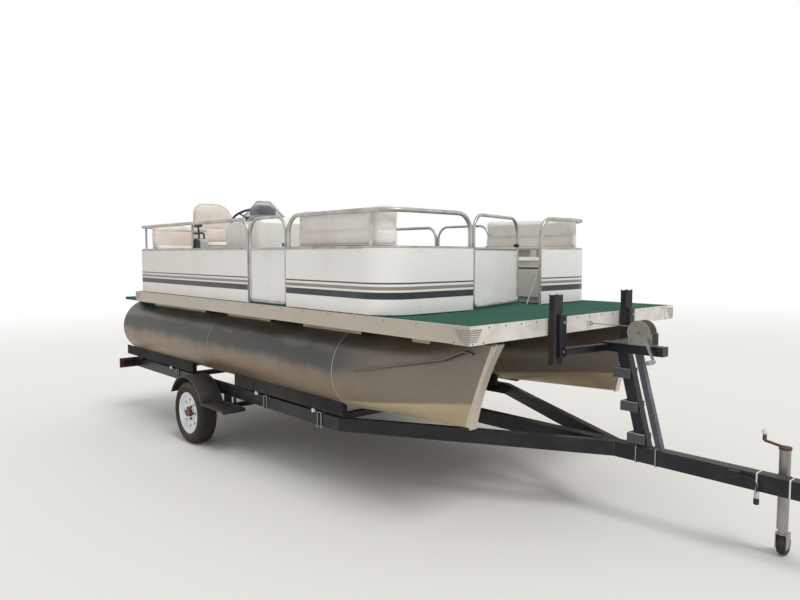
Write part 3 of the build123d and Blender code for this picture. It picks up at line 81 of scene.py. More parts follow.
# %% Camera
EYE = np.array([7.328, -3.975, 0.403])
AZIMUTH = math.radians(47.65)
PITCH = math.radians(3.91)
ROLL = math.radians(0.063)
FOCAL_PIXELS = 662.4
PHOTO_WIDTH = 800
FILM_WIDTH = 36.0

look = np.array([
    -math.sin(AZIMUTH) * math.cos(PITCH),
    math.cos(AZIMUTH) * math.cos(PITCH),
    -math.sin(PITCH),
])
level = np.array([math.cos(AZIMUTH), math.sin(AZIMUTH), 0.0])
right = math.cos(ROLL) * level + math.sin(ROLL) * np.cross(level, look)
camera_data = bpy.data.cameras.new("camera")
camera_data.sensor_width = FILM_WIDTH
camera_data.lens = FOCAL_PIXELS * FILM_WIDTH / PHOTO_WIDTH
camera_data.clip_end = 400
camera = bpy.data.objects.new("camera", camera_data)
bpy.context.scene.collection.objects.link(camera)
view = np.eye(4)
view[:3, :3] = DECK_TURN @ np.column_stack([right, np.cross(right, look), -look])
view[:3, 3] = stand(EYE)
camera.matrix_world = Matrix(view.tolist())
bpy.context.scene.camera = camera
print("lens, mm:", round(camera_data.lens, 2))

# %% [markdown]
# Every shape here is an array of points and an array of faces. A surface is a grid of
# points, a row for each step along it and a column for each step around it, so its faces
# follow from the two counts alone. A finished shape is one tuple: points, list of faces.

# %% Shapes from arrays
UPWARD = (0.0, 0.0, 1.0)
FORWARD = (1.0, 0.0, 0.0)
ORIGIN = (0.0, 0.0, 0.0)


def grid_faces(rows, columns):
    """Faces between neighbours of a grid whose last column meets its first."""
    row = np.arange(rows - 1)[:, None] * columns
    column = np.arange(columns)[None, :]
    following = (column + 1) % columns
    corners = [row + column, row + following, row + columns + following, row + columns + column]
    return np.stack(corners, -1).reshape(-1, 4)


def outward(points, faces):
    """A closed shape with its faces turned to look outwards: its volume comes out positive."""
    volume = 0.0
    for block in faces:
        corner = points[block] - points.mean(0)
        fan = np.cross(corner[:, 1:-1], corner[:, 2:])
        volume += np.einsum("nk,nik->", corner[:, 0], fan)
    return points, [block[:, ::-1] for block in faces] if volume < 0 else faces


def skin(grid, looped=False):
    """A closed surface through rings of points: its two ends are capped, or joined if looped."""
    grid = np.asarray(grid, float)
    rows, columns = grid.shape[:2]
    points = grid.reshape(-1, 3)
    if looped:
        return outward(points, [grid_faces(rows + 1, columns) % len(points)])
    first_cap = np.arange(columns)[None, ::-1]
    last_cap = np.arange((rows - 1) * columns, rows * columns)[None, :]
    return outward(points, [grid_faces(rows, columns), first_cap, last_cap])


def join(*shapes):
    """Several shapes as one."""
    points, faces, start = [], [], 0
    for shape_points, shape_faces in shapes:
        points.append(shape_points)
        faces += [block + start for block in shape_faces]
        start += len(shape_points)
    return np.concatenate(points), faces


def copies(shape, places):
    """The same shape at many places."""
    points, faces = shape
    places = np.atleast_2d(places).astype(float)
    steps = np.arange(len(places))[:, None, None] * len(points)
    moved = points[None] + places[:, None, :]
    return moved.reshape(-1, 3), [(f[None] + steps).reshape(-1, f.shape[1]) for f in faces]


def facing(direction, hint=UPWARD):
    """A turn whose third column points along direction."""
    z = np.asarray(direction, float) / np.linalg.norm(direction)
    x = np.cross(hint, z)
    if np.linalg.norm(x) < 1e-6:
        x = np.cross(FORWARD, z)
    x /= np.linalg.norm(x)
    return np.column_stack([x, np.cross(z, x), z])


def lathe(profile, centre, axis, count=48, looped=False):
    """A profile of (radius, height) pairs turned about an axis through centre."""
    profile = np.asarray(profile, float)
    angle = np.linspace(0, 2 * np.pi, count, endpoint=False)
    ring = np.stack([np.cos(angle), np.sin(angle)], -1)
    flat = profile[:, None, :1] * ring[None]
    tall = np.broadcast_to(profile[:, None, 1:], flat.shape[:2] + (1,))
    grid = np.concatenate([flat, tall], -1) @ facing(axis).T + np.asarray(centre, float)
    return skin(grid, looped=looped)


def bend(points, radii, step=math.radians(9)):
    """A path of straight runs whose corners are arcs of the given radii."""
    points = np.asarray(points, float)
    path = [points[0]]
    for before, corner, after, radius in zip(points, points[1:], points[2:], radii):
        inward = (before - corner) / np.linalg.norm(before - corner)
        onward = (after - corner) / np.linalg.norm(after - corner)
        half = math.acos(np.clip(inward @ onward, -1, 1)) / 2
        middle = inward + onward
        middle = corner + middle / np.linalg.norm(middle) * radius / math.sin(half)
        start = corner + inward * radius / math.tan(half) - middle
        count = max(3, int((math.pi - 2 * half) / step) + 1)
        sweep = np.linspace(0, math.pi - 2 * half, count)[:, None]
        side = onward - inward * (onward @ inward)
        side /= np.linalg.norm(side)
        path.append(middle + start * np.cos(sweep) + side * radius * np.sin(sweep))
    path.append(points[-1])
    return np.vstack(path)


def carry(profile, path, hint=UPWARD, looped=False, scale=None):
    """A closed profile (across, over) carried along a path, turning as little as it can."""
    path = np.asarray(path, float)
    profile = np.asarray(profile, float)
    if looped:
        ahead_of = np.roll(path, -1, 0) - np.roll(path, 1, 0)
    else:
        ahead_of = np.gradient(path, axis=0)
    ahead_of /= np.linalg.norm(ahead_of, axis=1)[:, None]
    side = np.cross(hint, ahead_of[0])
    if np.linalg.norm(side) < 1e-6:
        side = np.cross((0.0, 1.0, 0.0), ahead_of[0])
    rings = []
    for index, (place, direction) in enumerate(zip(path, ahead_of)):
        side = side - direction * (side @ direction)
        side = side / np.linalg.norm(side)
        over_it = np.cross(direction, side)
        size = 1.0 if scale is None else scale[index]
        rings.append(place + size * (profile[:, :1] * side + profile[:, 1:] * over_it))
    return skin(np.stack(rings), looped=looped)


def circle(radius, count=12):
    """A round profile, as points of a circle."""
    angle = np.linspace(0, 2 * np.pi, count, endpoint=False)
    return np.stack([radius * np.cos(angle), radius * np.sin(angle)], -1)


def tube(path, radius, count=12, looped=False):
    """A round rod along a path."""
    return carry(circle(radius, count), path, looped=looped)


def softened(low, high, radius, count=16):
    """A block with rounded edges: a small ball pulled apart to the block's corners."""
    low, high = np.minimum(low, high), np.maximum(low, high)
    radius = min(radius, (high - low).min() * 0.499)
    around = (np.arange(count) + 0.5) * 2 * np.pi / count
    down = np.linspace(0, np.pi, count // 2 + 2)
    down[0], down[-1] = 1e-3, np.pi - 1e-3
    ball = np.stack([
        np.sin(down)[:, None] * np.cos(around)[None],
        np.sin(down)[:, None] * np.sin(around)[None],
        np.broadcast_to(np.cos(down)[:, None], (len(down), count)),
    ], -1)
    middle, half = (low + high) / 2, (high - low) / 2 - radius
    sign = np.where(np.abs(ball) < 1e-9, 1.0, np.sign(ball))
    return skin((middle + sign * half + ball * radius)[::-1])


def turned(shape, turn, place=ORIGIN):
    """A shape turned or mirrored about zero, then moved."""
    points, faces = shape
    turn = np.asarray(turn, float)
    if np.linalg.det(turn) < 0:
        faces = [block[:, ::-1] for block in faces]
    return points @ turn.T + np.asarray(place, float), faces


def sideways(sign):
    """The direction across the boat: to port for 1, to starboard for -1."""
    return (0.0, float(sign), 0.0)


def about_z(angle):
    """A turn about the upright."""
    return np.array([[math.cos(angle), -math.sin(angle), 0.0],
                     [math.sin(angle), math.cos(angle), 0.0], UPWARD])


print("shape helpers ready")

# %% [markdown]
# A finish is a small tree of shader nodes. The class below adds one node at a time and
# hands back its output, so a finish reads like a sentence. Its patterns are placed on the
# deck's own frame: the logs' tan border, their painted reflection bands and a stripe then stay
# level with the deck, not the floor.
# Colours are given as they look on screen, from 0 to 255, and turned to linear light.

# %% A way to write finishes
def colour(red, green, blue):
    """A screen colour as linear light, with full cover."""
    screen = np.array([red, green, blue]) / 255
    linear = np.where(screen <= 0.04045, screen / 12.92, ((screen + 0.055) / 1.055) ** 2.4)
    return tuple(linear.tolist()) + (1.0,)


class Finish:
    """One material, with patterns that read the deck's frame in metres."""

    def __init__(self, name, slot):
        self.slot = slot
        self.material = bpy.data.materials.new(name)
        self.material.use_nodes = True
        self.tree = self.material.node_tree
        self.shader = self.tree.nodes["Principled BSDF"]
        self.at = self.add("Mapping", {
            "Vector": self.add("TexCoord", out="Object"),
            "Location": tuple((-DECK_TURN.T @ DECK_PLACE).tolist()),
            "Rotation": (0.0, -NOSE_DOWN, 0.0),
        })

    def add(self, kind, values=None, out=0, **settings):
        """One node; a value that is another node's output is linked."""
        node = self.tree.nodes.new("ShaderNode" + kind)
        for key, value in settings.items():
            setattr(node, key, value)
        for key, value in (values or {}).items():
            if isinstance(value, bpy.types.NodeSocket):
                self.tree.links.new(value, node.inputs[key])
            else:
                node.inputs[key].default_value = value
        return node.outputs[out]

    def stretched(self, x, y, z):
        """The deck's frame with its sides scaled, for streaks."""
        return self.add("Mapping", {"Vector": self.at, "Scale": (x, y, z)})

    def noise(self, scale, detail=4.0, rough=0.55, where=None):
        """Soft clouds from 0 to 1."""
        return self.add("TexNoise", {
            "Vector": where or self.at, "Scale": scale, "Detail": detail, "Roughness": rough,
        })

    def cells(self, scale, out="Distance"):
        """Distance to scattered points, or a colour for each."""
        return self.add("TexVoronoi", {"Vector": self.at, "Scale": scale}, out=out)

    def outward_share(self, middle):
        """1 where a face looks away from the deck's middle, 0 where it looks towards it."""
        normal = self.add("TexCoord", out="Normal")
        ahead = self.times(self.less(self.axis(0), middle), self.axis(0, normal))
        aside = self.times(self.axis(1), self.axis(1, normal))
        return self.rise(self.plus(ahead, aside), 0.0, 0.05)

    def axis(self, number, where=None):
        """One coordinate of the deck's frame."""
        return self.add("SeparateXYZ", {"Vector": where or self.at}, out=number)

    def rise(self, value, low, high, start=0.0, end=1.0):
        """From start to end as value goes from low to high, eased."""
        return self.add("MapRange", {
            "Value": value, "From Min": low, "From Max": high, "To Min": start, "To Max": end,
        }, interpolation_type="SMOOTHSTEP")

    def step(self, operation, first, second=0.0):
        """One step of arithmetic."""
        return self.add("Math", {0: first, 1: second}, operation=operation)

    def times(self, first, second):
        """Product."""
        return self.step("MULTIPLY", first, second)

    def plus(self, first, second):
        """Total."""
        return self.step("ADD", first, second)

    def less(self, first, second):
        """Difference."""
        return self.step("SUBTRACT", first, second)

    def drift(self, clouds, first, second):
        """Two colours that change over slowly, by clouds."""
        return self.mix(self.rise(clouds, 0.35, 0.7), first, second)

    def mix(self, share, first, second):
        """Two colours mixed by share."""
        return self.add("Mix", {0: share, 6: first, 7: second}, out=2, data_type="RGBA")

    def facing_up(self):
        """How far a face looks up, from -1 to 1."""
        return self.axis(2, self.add("NewGeometry", out="Normal"))

    def edges(self, radius):
        """Near 1 on outer edges, where paint wears first."""
        bent = self.add("Bevel", {"Radius": radius}, samples=4)
        straight = self.add("NewGeometry", out="True Normal")
        same = self.add("VectorMath", {0: bent, 1: straight}, out="Value",
                        operation="DOT_PRODUCT")
        return self.rise(same, 0.995, 0.90)

    def shade_in_hollows(self, distance):
        """Near 1 in corners and crevices, where ambient light is blocked: the mask for painted
        shade in hollows.
        """
        return self.rise(self.add("AmbientOcclusion", {"Distance": distance}, out="AO",
                                  samples=4), 0.85, 0.35)

    def band(self, value, low, high, soft=0.0008):
        """1 between two values, 0 outside."""
        return self.times(self.rise(value, low - soft, low + soft),
                          self.rise(value, high + soft, high - soft))

    def bump(self, height, distance, normal=None):
        """Small relief; distance is its real height in metres."""
        values = {"Height": height, "Distance": distance, "Strength": 1.0}
        if normal:
            values["Normal"] = normal
        return self.add("Bump", values)

    def set(self, **sockets):
        """Values or outputs for the shader's sockets, by their plain names."""
        names = {
            "base": "Base Color", "rough": "Roughness", "metal": "Metallic", "normal": "Normal",
            "coat": "Coat Weight", "sheen": "Sheen Weight", "gloss": "Specular IOR Level",
            "alpha": "Alpha",
        }
        for key, value in sockets.items():
            socket = self.shader.inputs[names[key]]
            if isinstance(value, bpy.types.NodeSocket):
                self.tree.links.new(value, socket)
            else:
                socket.default_value = value
        return self


BOAT = "boat_on_trailer"
SIDES = (("starboard", -1.0), ("port", 1.0))


def dress(finish, *names):
    """Gives CAD nodes their finish; their meshes stay as they are."""
    for name in names:
        mesh = nodes[name].data
        mesh.materials.clear()
        mesh.materials.append(finish.material)


def build(name, shape, finish, body=BOAT, smooth=40.0, replaces=()):
    """A piece of the model: its mesh on the floor's frame, its finish and its body."""
    points, faces = shape
    mesh = bpy.data.meshes.new(name)
    mesh.vertices.add(len(points))
    mesh.vertices.foreach_set("co", stand(points).astype(np.float32).ravel())
    corners = np.concatenate([block.ravel() for block in faces]).astype(np.int32)
    sizes = np.concatenate([np.full(len(block), block.shape[1]) for block in faces])
    mesh.loops.add(len(corners))
    mesh.loops.foreach_set("vertex_index", corners)
    mesh.polygons.add(len(sizes))
    mesh.polygons.foreach_set("loop_start", (np.cumsum(sizes) - sizes).astype(np.int32))
    mesh.update(calc_edges=True)
    mesh.validate()
    mesh.shade_smooth()
    mesh.set_sharp_from_angle(angle=math.radians(smooth))
    mesh.materials.append(finish.material)
    piece = bpy.data.objects.new(name, mesh)
    bpy.context.scene.collection.objects.link(piece)
    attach(piece, body)
    if replaces:
        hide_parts(*replaces)
    triangles = int((sizes - 2).sum())
    print(f"{name}: {triangles} triangles")
    return piece


# %% [markdown]
# The floor and the backdrop are one pale sheet: near the boat it takes a shadow, and far
# away it fades to plain white. Camera, mirror and glass rays see white sky, while the
# light on the object comes from an even sky and one broad, soft sun.

# %% Floor, sky and sun
FLOOR_HALF = 150.0
FADE_START, FADE_END = 7.0, 26.0
SKY_LIGHT = 0.72
SUN_LIGHT = 1.5
SUN_SPREAD = math.radians(24)
SUN_FROM = np.array([0.72, -0.08, 1.0])

floor_finish = Finish("pale_floor", "")
far = floor_finish.add("VectorMath", {0: floor_finish.add("TexCoord", out="Object")},
                       out="Value", operation="LENGTH")
faded = floor_finish.rise(far, FADE_START, FADE_END)
seen = floor_finish.add("LightPath", out="Is Camera Ray")
share = floor_finish.times(faded, seen)
white = floor_finish.add("Emission", {"Color": (1, 1, 1, 1), "Strength": 1.0})
floor_finish.set(base=colour(226, 224, 219), rough=0.9)
sheet = floor_finish.add("MixShader", {0: share, 1: floor_finish.shader.outputs[0], 2: white})
floor_finish.tree.links.new(sheet, floor_finish.tree.nodes["Material Output"].inputs[0])
floor_mesh = bpy.data.meshes.new("floor")
floor_mesh.from_pydata([(-FLOOR_HALF, -FLOOR_HALF, 0), (FLOOR_HALF, -FLOOR_HALF, 0),
                        (FLOOR_HALF, FLOOR_HALF, 0), (-FLOOR_HALF, FLOOR_HALF, 0)],
                       [], [(0, 1, 2, 3)])
floor_mesh.materials.append(floor_finish.material)
floor = bpy.data.objects.new("floor", floor_mesh)
bpy.context.scene.collection.objects.link(floor)

world = bpy.data.worlds.new("sky")
bpy.context.scene.world = world
world.use_nodes = True
tree = world.node_tree
light_path = tree.nodes.new("ShaderNodeLightPath")
sees_white = tree.nodes.new("ShaderNodeMath")
sees_white.operation = "ADD"
sees_white.use_clamp = True
tree.links.new(light_path.outputs["Is Camera Ray"], sees_white.inputs[0])
tree.links.new(light_path.outputs["Is Transmission Ray"], sees_white.inputs[1])
strength = tree.nodes.new("ShaderNodeMapRange")
tree.links.new(sees_white.outputs[0], strength.inputs["Value"])
strength.inputs["To Min"].default_value = SKY_LIGHT
strength.inputs["To Max"].default_value = 1.0
tree.links.new(strength.outputs[0], tree.nodes["Background"].inputs["Strength"])
tree.nodes["Background"].inputs["Color"].default_value = (1, 1, 1, 1)

sun_data = bpy.data.lights.new("sun", "SUN")
sun_data.energy = SUN_LIGHT
sun_data.angle = SUN_SPREAD
sun = bpy.data.objects.new("sun", sun_data)
bpy.context.scene.collection.objects.link(sun)
sun_matrix = np.eye(4)
sun_matrix[:3, :3] = facing(SUN_FROM)
sun.matrix_world = Matrix(sun_matrix.tolist())
bpy.context.scene.view_settings.view_transform = "Standard"
print("stage ready")

# %% [markdown]
# The trailer's lighting lead leaves a clamp on the drawbar and ends in its plug, which
# hangs from a strap. A cable of this kind is one smooth curve, so it is a NURBS spline with
# a round bevel. Its control points are those of the solid lead, in metres.

# %% The lead
LEAD_RADIUS = 0.004
LEAD_POINTS = np.array([
    (5.900, -0.054, -0.846),
    (5.934, -0.054, -0.846),
    (5.968, -0.060, -0.850),
    (5.990, -0.066, -0.866),
    (5.998, -0.070, -0.890),
    (5.998, -0.070, -0.914),
])
lead_curve = bpy.data.curves.new("lighting_lead", "CURVE")
lead_curve.dimensions = "3D"
lead_curve.bevel_depth = LEAD_RADIUS
lead_curve.bevel_resolution = 4
lead_curve.use_fill_caps = True
spline = lead_curve.splines.new("NURBS")
spline.points.add(len(LEAD_POINTS) - 1)
placed = np.column_stack([stand(LEAD_POINTS), np.ones(len(LEAD_POINTS))])
spline.points.foreach_set("co", placed.ravel())
spline.order_u = 3
spline.use_endpoint_u = True
spline.resolution_u = 12
lead = bpy.data.objects.new("lighting_lead", lead_curve)
bpy.context.scene.collection.objects.link(lead)
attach(lead, BOAT)
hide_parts("trailer_lead")

# %% [markdown]
# The logs are bare aluminium that has lain in a lake. Rolling left fine rings of streaks
# round them. They are grey above, with painted reflection bands: a dark band of treeline and
# a pale highlight band of sky over it. Below, the tan is partly scale that the water left and
# partly a painted reflection of the ground. The nose is browner and faintly speckled, with a
# cream band along its foot and a pale stem.

# %% Log metal
HALF_WIDTH, DECK_LENGTH = 1.220, 4.880
LOG_RADIUS, LOG_Y, LOG_Z = 0.305, 0.870, -0.434
SEAM_X = 3.53
STEM_X, STEM_LEAN = 4.866, 0.385
TAN_BORDER_STAIN_AND_REFLECTION = (-0.385, -0.515)


def log_metal():
    """Bands of grey above, tan below; each border is a height that noise makes waver."""
    finish = Finish("log_metal", "log_aluminium")
    x, z = finish.axis(0), finish.axis(2)
    rings = finish.noise(1.0, 5.0, 0.65, finish.stretched(90.0, 2.0, 2.0))
    clouds = finish.noise(2.4, 4.0)
    specks = finish.noise(95.0, 4.0, 0.6)
    grey = finish.mix(finish.rise(rings, 0.25, 0.8), colour(104, 103, 101), colour(118, 117, 113))
    grey = finish.mix(finish.rise(clouds, 0.42, 0.68, 0.0, 0.35), grey, colour(134, 132, 126))
    tan = finish.mix(finish.rise(rings, 0.25, 0.8), colour(130, 115, 95), colour(147, 132, 110))
    height = finish.plus(z, finish.rise(clouds, 0.2, 0.8, -0.035, 0.035))
    # Painted reflection: a dark treeline band just above the tan, and a pale painted highlight of
    # sky over it, both set by height.
    dark = finish.times(finish.rise(height, -0.20, -0.31), finish.rise(height, -0.47, -0.38))
    grey = finish.mix(finish.times(dark, 0.6), grey, colour(68, 68, 67))
    pale = finish.times(finish.rise(height, -0.31, -0.24), finish.rise(height, -0.13, -0.21))
    grey = finish.mix(finish.times(pale, 0.45), grey, colour(146, 145, 140))
    # Below this border the tan is partly scale from the water and partly a painted reflection of
    # the ground.
    low = finish.rise(height, *TAN_BORDER_STAIN_AND_REFLECTION)
    body = finish.mix(low, grey, tan)
    nose = finish.mix(finish.rise(specks, 0.30, 0.80), colour(128, 121, 112), colour(142, 135, 125))
    nose = finish.mix(finish.rise(specks, 0.70, 0.80, 0.0, 0.2), nose, colour(186, 181, 172))
    metal = finish.mix(finish.rise(x, SEAM_X - 0.15, SEAM_X + 0.5), body, nose)
    slope = finish.times(finish.less(x, 3.6), -0.115)
    line = finish.plus(finish.plus(z, slope), finish.rise(clouds, 0.2, 0.8, -0.008, 0.008))
    front = finish.rise(x, 2.7, 3.5)
    cream = finish.times(finish.rise(line, -0.645, -0.656), front)
    cream_tone = finish.mix(finish.rise(clouds, 0.3, 0.7), colour(176, 161, 131),
                            colour(198, 184, 154))
    metal = finish.mix(cream, metal, cream_tone)
    yellow = finish.times(finish.band(line, -0.651, -0.641, 0.002), front)
    metal = finish.mix(finish.times(yellow, 0.6), metal, colour(176, 148, 84))
    aside = finish.less(finish.step("ABSOLUTE", finish.axis(1)), LOG_Y)
    aside = finish.step("ABSOLUTE", aside)
    stem_x = finish.plus(finish.times(z, STEM_LEAN), STEM_X)
    stem = finish.times(finish.rise(aside, 0.034, 0.032),
                        finish.rise(finish.less(x, stem_x), -0.046, -0.042))
    metal = finish.mix(stem, metal, colour(206, 197, 184))
    # Painted shade: the log darkens in its hollows and corners.
    metal = finish.mix(finish.shade_in_hollows(0.03), metal, colour(84, 78, 70))
    rough = finish.rise(clouds, 0.3, 0.7, 0.33, 0.45)
    finish.set(base=metal, metal=finish.rise(low, 0.0, 1.0, 0.8, 0.55), rough=rough,
               normal=finish.bump(rings, 0.0002))
    return finish


LOG = log_metal()
dress(LOG, "pontoon_starboard", "pontoon_port")

# %% [markdown]
# The fence, the gates' frames and the skirt are satin anodised aluminium, dull with age.
# The skirt has fine scratches along its length, and its two long sides are tanner.

# %% Satin trim and the skirt
def satin_trim(name, dark, light, streaks, metal, grime_and_painted_light, flanks=None):
    """Two greys mixed by clouds and fine scratches; flanks tints the deck's two long sides."""
    finish = Finish(name, "trim_aluminium")
    scratches = finish.noise(1.0, 6.0, 0.7, finish.stretched(*streaks))
    clouds = finish.noise(7.0, 5.0)
    tone = finish.drift(clouds, dark, light)
    if flanks:
        outer = finish.rise(finish.step("ABSOLUTE", finish.axis(1)), HALF_WIDTH - 0.0015,
                            HALF_WIDTH - 0.0005)
        tone = finish.mix(finish.times(outer, 0.75), tone, flanks)
    tone = finish.mix(finish.rise(scratches, 0.55, 0.75, 0.0, 0.5 * grime_and_painted_light), tone,
                      colour(112, 106, 98))
    # Painted shade: the trim darkens in its corners and crevices.
    tone = finish.mix(finish.times(finish.shade_in_hollows(0.03), grime_and_painted_light), tone, colour(74, 68, 60))
    finish.set(base=tone, metal=metal, rough=finish.rise(clouds, 0.3, 0.7, 0.3, 0.46),
               normal=finish.bump(scratches, 0.0003))
    return finish


TUBE = satin_trim("fence_tube_metal", colour(172, 170, 165), colour(204, 202, 197),
                  streaks=(9, 9, 9), metal=0.5, grime_and_painted_light=0.5)
SKIRT = satin_trim("skirt_metal", colour(206, 201, 193), colour(226, 222, 216),
                   streaks=(3, 3, 60), metal=0.25, grime_and_painted_light=0.3, flanks=colour(176, 166, 149))
dress(TUBE, "fence_frames_aft", "fence_frames_bow", "starboard_gate_frame",
      "port_gate_frame", "front_gate_frame", "motor_mount")
dress(SKIRT, "deck_skirt")

# %% [markdown]
# The fence's sheets are white enamel. A thin dark line, a tan band and a dark slate band
# run along the outward faces of the fixed sheets only. The gates' sheets and every inward
# face are plain. The stern's sheets are a little greyer and warmer than the bow's.

# %% Striped and plain enamel
FENCE_MIDDLE = 2.4
STRIPES = [  # low, high, colour
    (0.2095, 0.2200, colour(58, 54, 53)),
    (0.170, 0.193, colour(142, 130, 116)),
    (0.110, 0.156, colour(28, 37, 41)),
]


def enamel(name, striped):
    """White enamel with stripes at fixed heights, dust below and faint runs."""
    finish = Finish(name, "fence_sheet")
    x, z = finish.axis(0), finish.axis(2)
    clouds = finish.noise(3.0, 5.0)
    runs = finish.noise(1.0, 4.0, 0.6, finish.stretched(38.0, 38.0, 2.2))
    tone = finish.mix(finish.rise(x, 0.2, 3.2), colour(222, 218, 212), colour(233, 232, 229))
    tone = finish.mix(finish.rise(clouds, 0.45, 0.75, 0.0, 0.25), tone, colour(206, 200, 191))
    if striped:
        facing_out = finish.outward_share(FENCE_MIDDLE)
        for low, high, paint in STRIPES:
            faded = finish.rise(clouds, 0.4, 0.8, 1.0, 0.93)
            share = finish.times(finish.band(z, low, high), faded)
            share = finish.times(share, facing_out)
            tone = finish.mix(share, tone, paint)
    tone = finish.mix(finish.rise(runs, 0.56, 0.8, 0.0, 0.12), tone, colour(150, 140, 124))
    dust = finish.rise(z, 0.09, 0.0, 0.0, 0.28)
    tone = finish.mix(dust, tone, colour(168, 156, 138))
    finish.set(base=tone, rough=finish.rise(clouds, 0.3, 0.7, 0.24, 0.4), coat=0.15,
               normal=finish.bump(finish.noise(1.6, 1.0), 0.004))
    return finish


STRIPED = enamel("striped_enamel", True)
PLAIN = enamel("plain_enamel", False)
dress(STRIPED, "fence_panels_aft", "fence_panels_bow")
dress(PLAIN, "starboard_gate_panel", "port_gate_panel", "front_gate_panel")

# %% [markdown]
# Marine carpet is a low felt of green fibres, faded and dusty in patches. Its pile is far
# too fine to model, so it is a fine, rough relief with sheen.

# %% Carpets
def felt(name, slot, dark, light, dusty, grain):
    """Fibres from fine noise; fading and dust from one slower cloud."""
    finish = Finish(name, slot)
    fibres = finish.noise(grain, 6.0, 0.75)
    clouds = finish.noise(1.7, 5.0)
    tone = finish.mix(finish.rise(fibres, 0.35, 0.68), dark, light)
    tone = finish.mix(finish.rise(clouds, 0.44, 0.72, 0.0, 0.55), tone, dusty)
    finish.set(base=tone, rough=0.96, sheen=0.08, gloss=0.12,
               normal=finish.bump(fibres, 0.0022))
    return finish


GREEN = felt("green_felt", "green_carpet", colour(8, 66, 48), colour(28, 98, 76),
             colour(52, 108, 88), 420.0)
CHARCOAL = felt("charcoal_felt", "bunk_carpet", colour(26, 26, 29), colour(54, 54, 58),
                colour(80, 76, 71), 380.0)
dress(GREEN, "deck_carpet", "stern_platforms")
dress(CHARCOAL, "bunk_boards", "bow_stop_posts")

# %% [markdown]
# Three painted metals: the beige risers and beams under the deck, the black rails of the
# trailer, and the navy pieces bolted to them. Paint wears off the edges first, and dust
# from the road lies on what looks up; on the black paint that lighter top is partly a painted
# sheen. Where the steel is bare, it rusts.

# %% Painted metal
def paint(name, slot, dark, light, wear, dust, rough, reach):
    """Two paint tones, worn on the edges to wear and toned on upward faces to dust, which on black
    paint is partly a painted sheen.
    """
    finish = Finish(name, slot)
    clouds = finish.noise(5.0, 5.0)
    chips = finish.noise(34.0, 5.0, 0.7)
    tone = finish.drift(clouds, dark, light)
    # Upward faces take the dust tone: road dust, and on the black paint partly a painted sheen of
    # the top faces.
    grime_and_painted_light = finish.times(finish.rise(finish.facing_up(), 0.1, 0.9),
                         finish.rise(clouds, 0.3, 0.62, 0.25, 0.85))
    tone = finish.mix(grime_and_painted_light, tone, dust)
    bare = finish.times(finish.edges(reach), finish.rise(chips, 0.44, 0.58))
    spots = finish.step("MAXIMUM", bare, finish.rise(chips, 0.70, 0.76, 0.0, 0.8))
    tone = finish.mix(spots, tone, wear)
    finish.set(base=tone, rough=finish.plus(rough, finish.times(grime_and_painted_light, 0.3)),
               gloss=0.4, normal=finish.bump(chips, 0.0004))
    return finish


BEIGE = paint("beige_paint", "riser_metal", colour(160, 150, 130), colour(184, 174, 154),
              colour(120, 104, 82), colour(150, 138, 118), 0.55, 0.003)
# The black paint's upward tone is partly dust, partly a painted sheen on its top faces.
BLACK = paint("black_chassis_paint", "black_paint", colour(15, 17, 21), colour(34, 36, 42),
              colour(122, 106, 92), colour(86, 83, 80), 0.38, 0.005)
NAVY = paint("navy_paint_finish", "navy_paint", colour(12, 14, 21), colour(27, 30, 41),
             colour(122, 102, 84), colour(88, 84, 88), 0.3, 0.004)
dress(BEIGE, "riser_channels", "deck_cross_members")
dress(BLACK, "trailer_rails", "trailer_drawbar", "bunk_cross_tubes")
dress(NAVY, "trailer_cross_members", "axle_and_springs", "bow_stop_frame", "winch_post")

# %% [markdown]
# Galvanised steel has a faint pattern of crystals, called spangle, and rusts where the
# zinc is worn. The crank's plain steel is rust all over, in several browns.

# %% Zinc and rust
def zinc(name, slot, rust):
    """Crystals from cell colours; rust grows with the share asked for."""
    finish = Finish(name, slot)
    crystals = finish.axis(0, finish.cells(210.0, out="Color"))
    clouds = finish.noise(9.0, 6.0, 0.65)
    fine = finish.noise(120.0, 5.0, 0.7)
    tone = finish.mix(crystals, colour(152, 151, 146), colour(170, 169, 164))
    tone = finish.mix(finish.rise(clouds, 0.4, 0.7, 0.0, 0.5), tone, colour(128, 124, 112))
    browns = finish.mix(finish.rise(fine, 0.35, 0.7), colour(68, 46, 36), colour(118, 88, 68))
    rusty = finish.rise(clouds, 0.72 - 0.5 * rust, 0.84 - 0.5 * rust)
    tone = finish.mix(rusty, tone, browns)
    finish.set(base=tone, metal=finish.rise(rusty, 0.0, 1.0, 0.8, 0.05),
               rough=finish.rise(rusty, 0.0, 1.0, 0.42, 0.85),
               normal=finish.bump(fine, 0.0005))
    return finish


ZINC = zinc("zinc_plate", "galvanised", 0.15)
RUST = zinc("rusted_steel", "rusty_steel", 1.0)
CABLE = zinc("cable_wire", "cable_steel", 0.25)
dress(ZINC, "frame_u_bolts", "winch_frame", "tow_coupling", "jockey_tubes", "jockey_fork")
dress(RUST, "jockey_crank")
dress(CABLE, "winch_drum", "winch_cable")

# %% [markdown]
# Marine vinyl is a thin skin with a small pebbled grain over foam. Sun turns the white
# towards cream, and its seams and creases are darkened with painted shade. The moulded pieces
# are the same cream white in smooth plastic, with painted shade in their hollows too, and the
# windscreen is smoke-tinted acrylic.

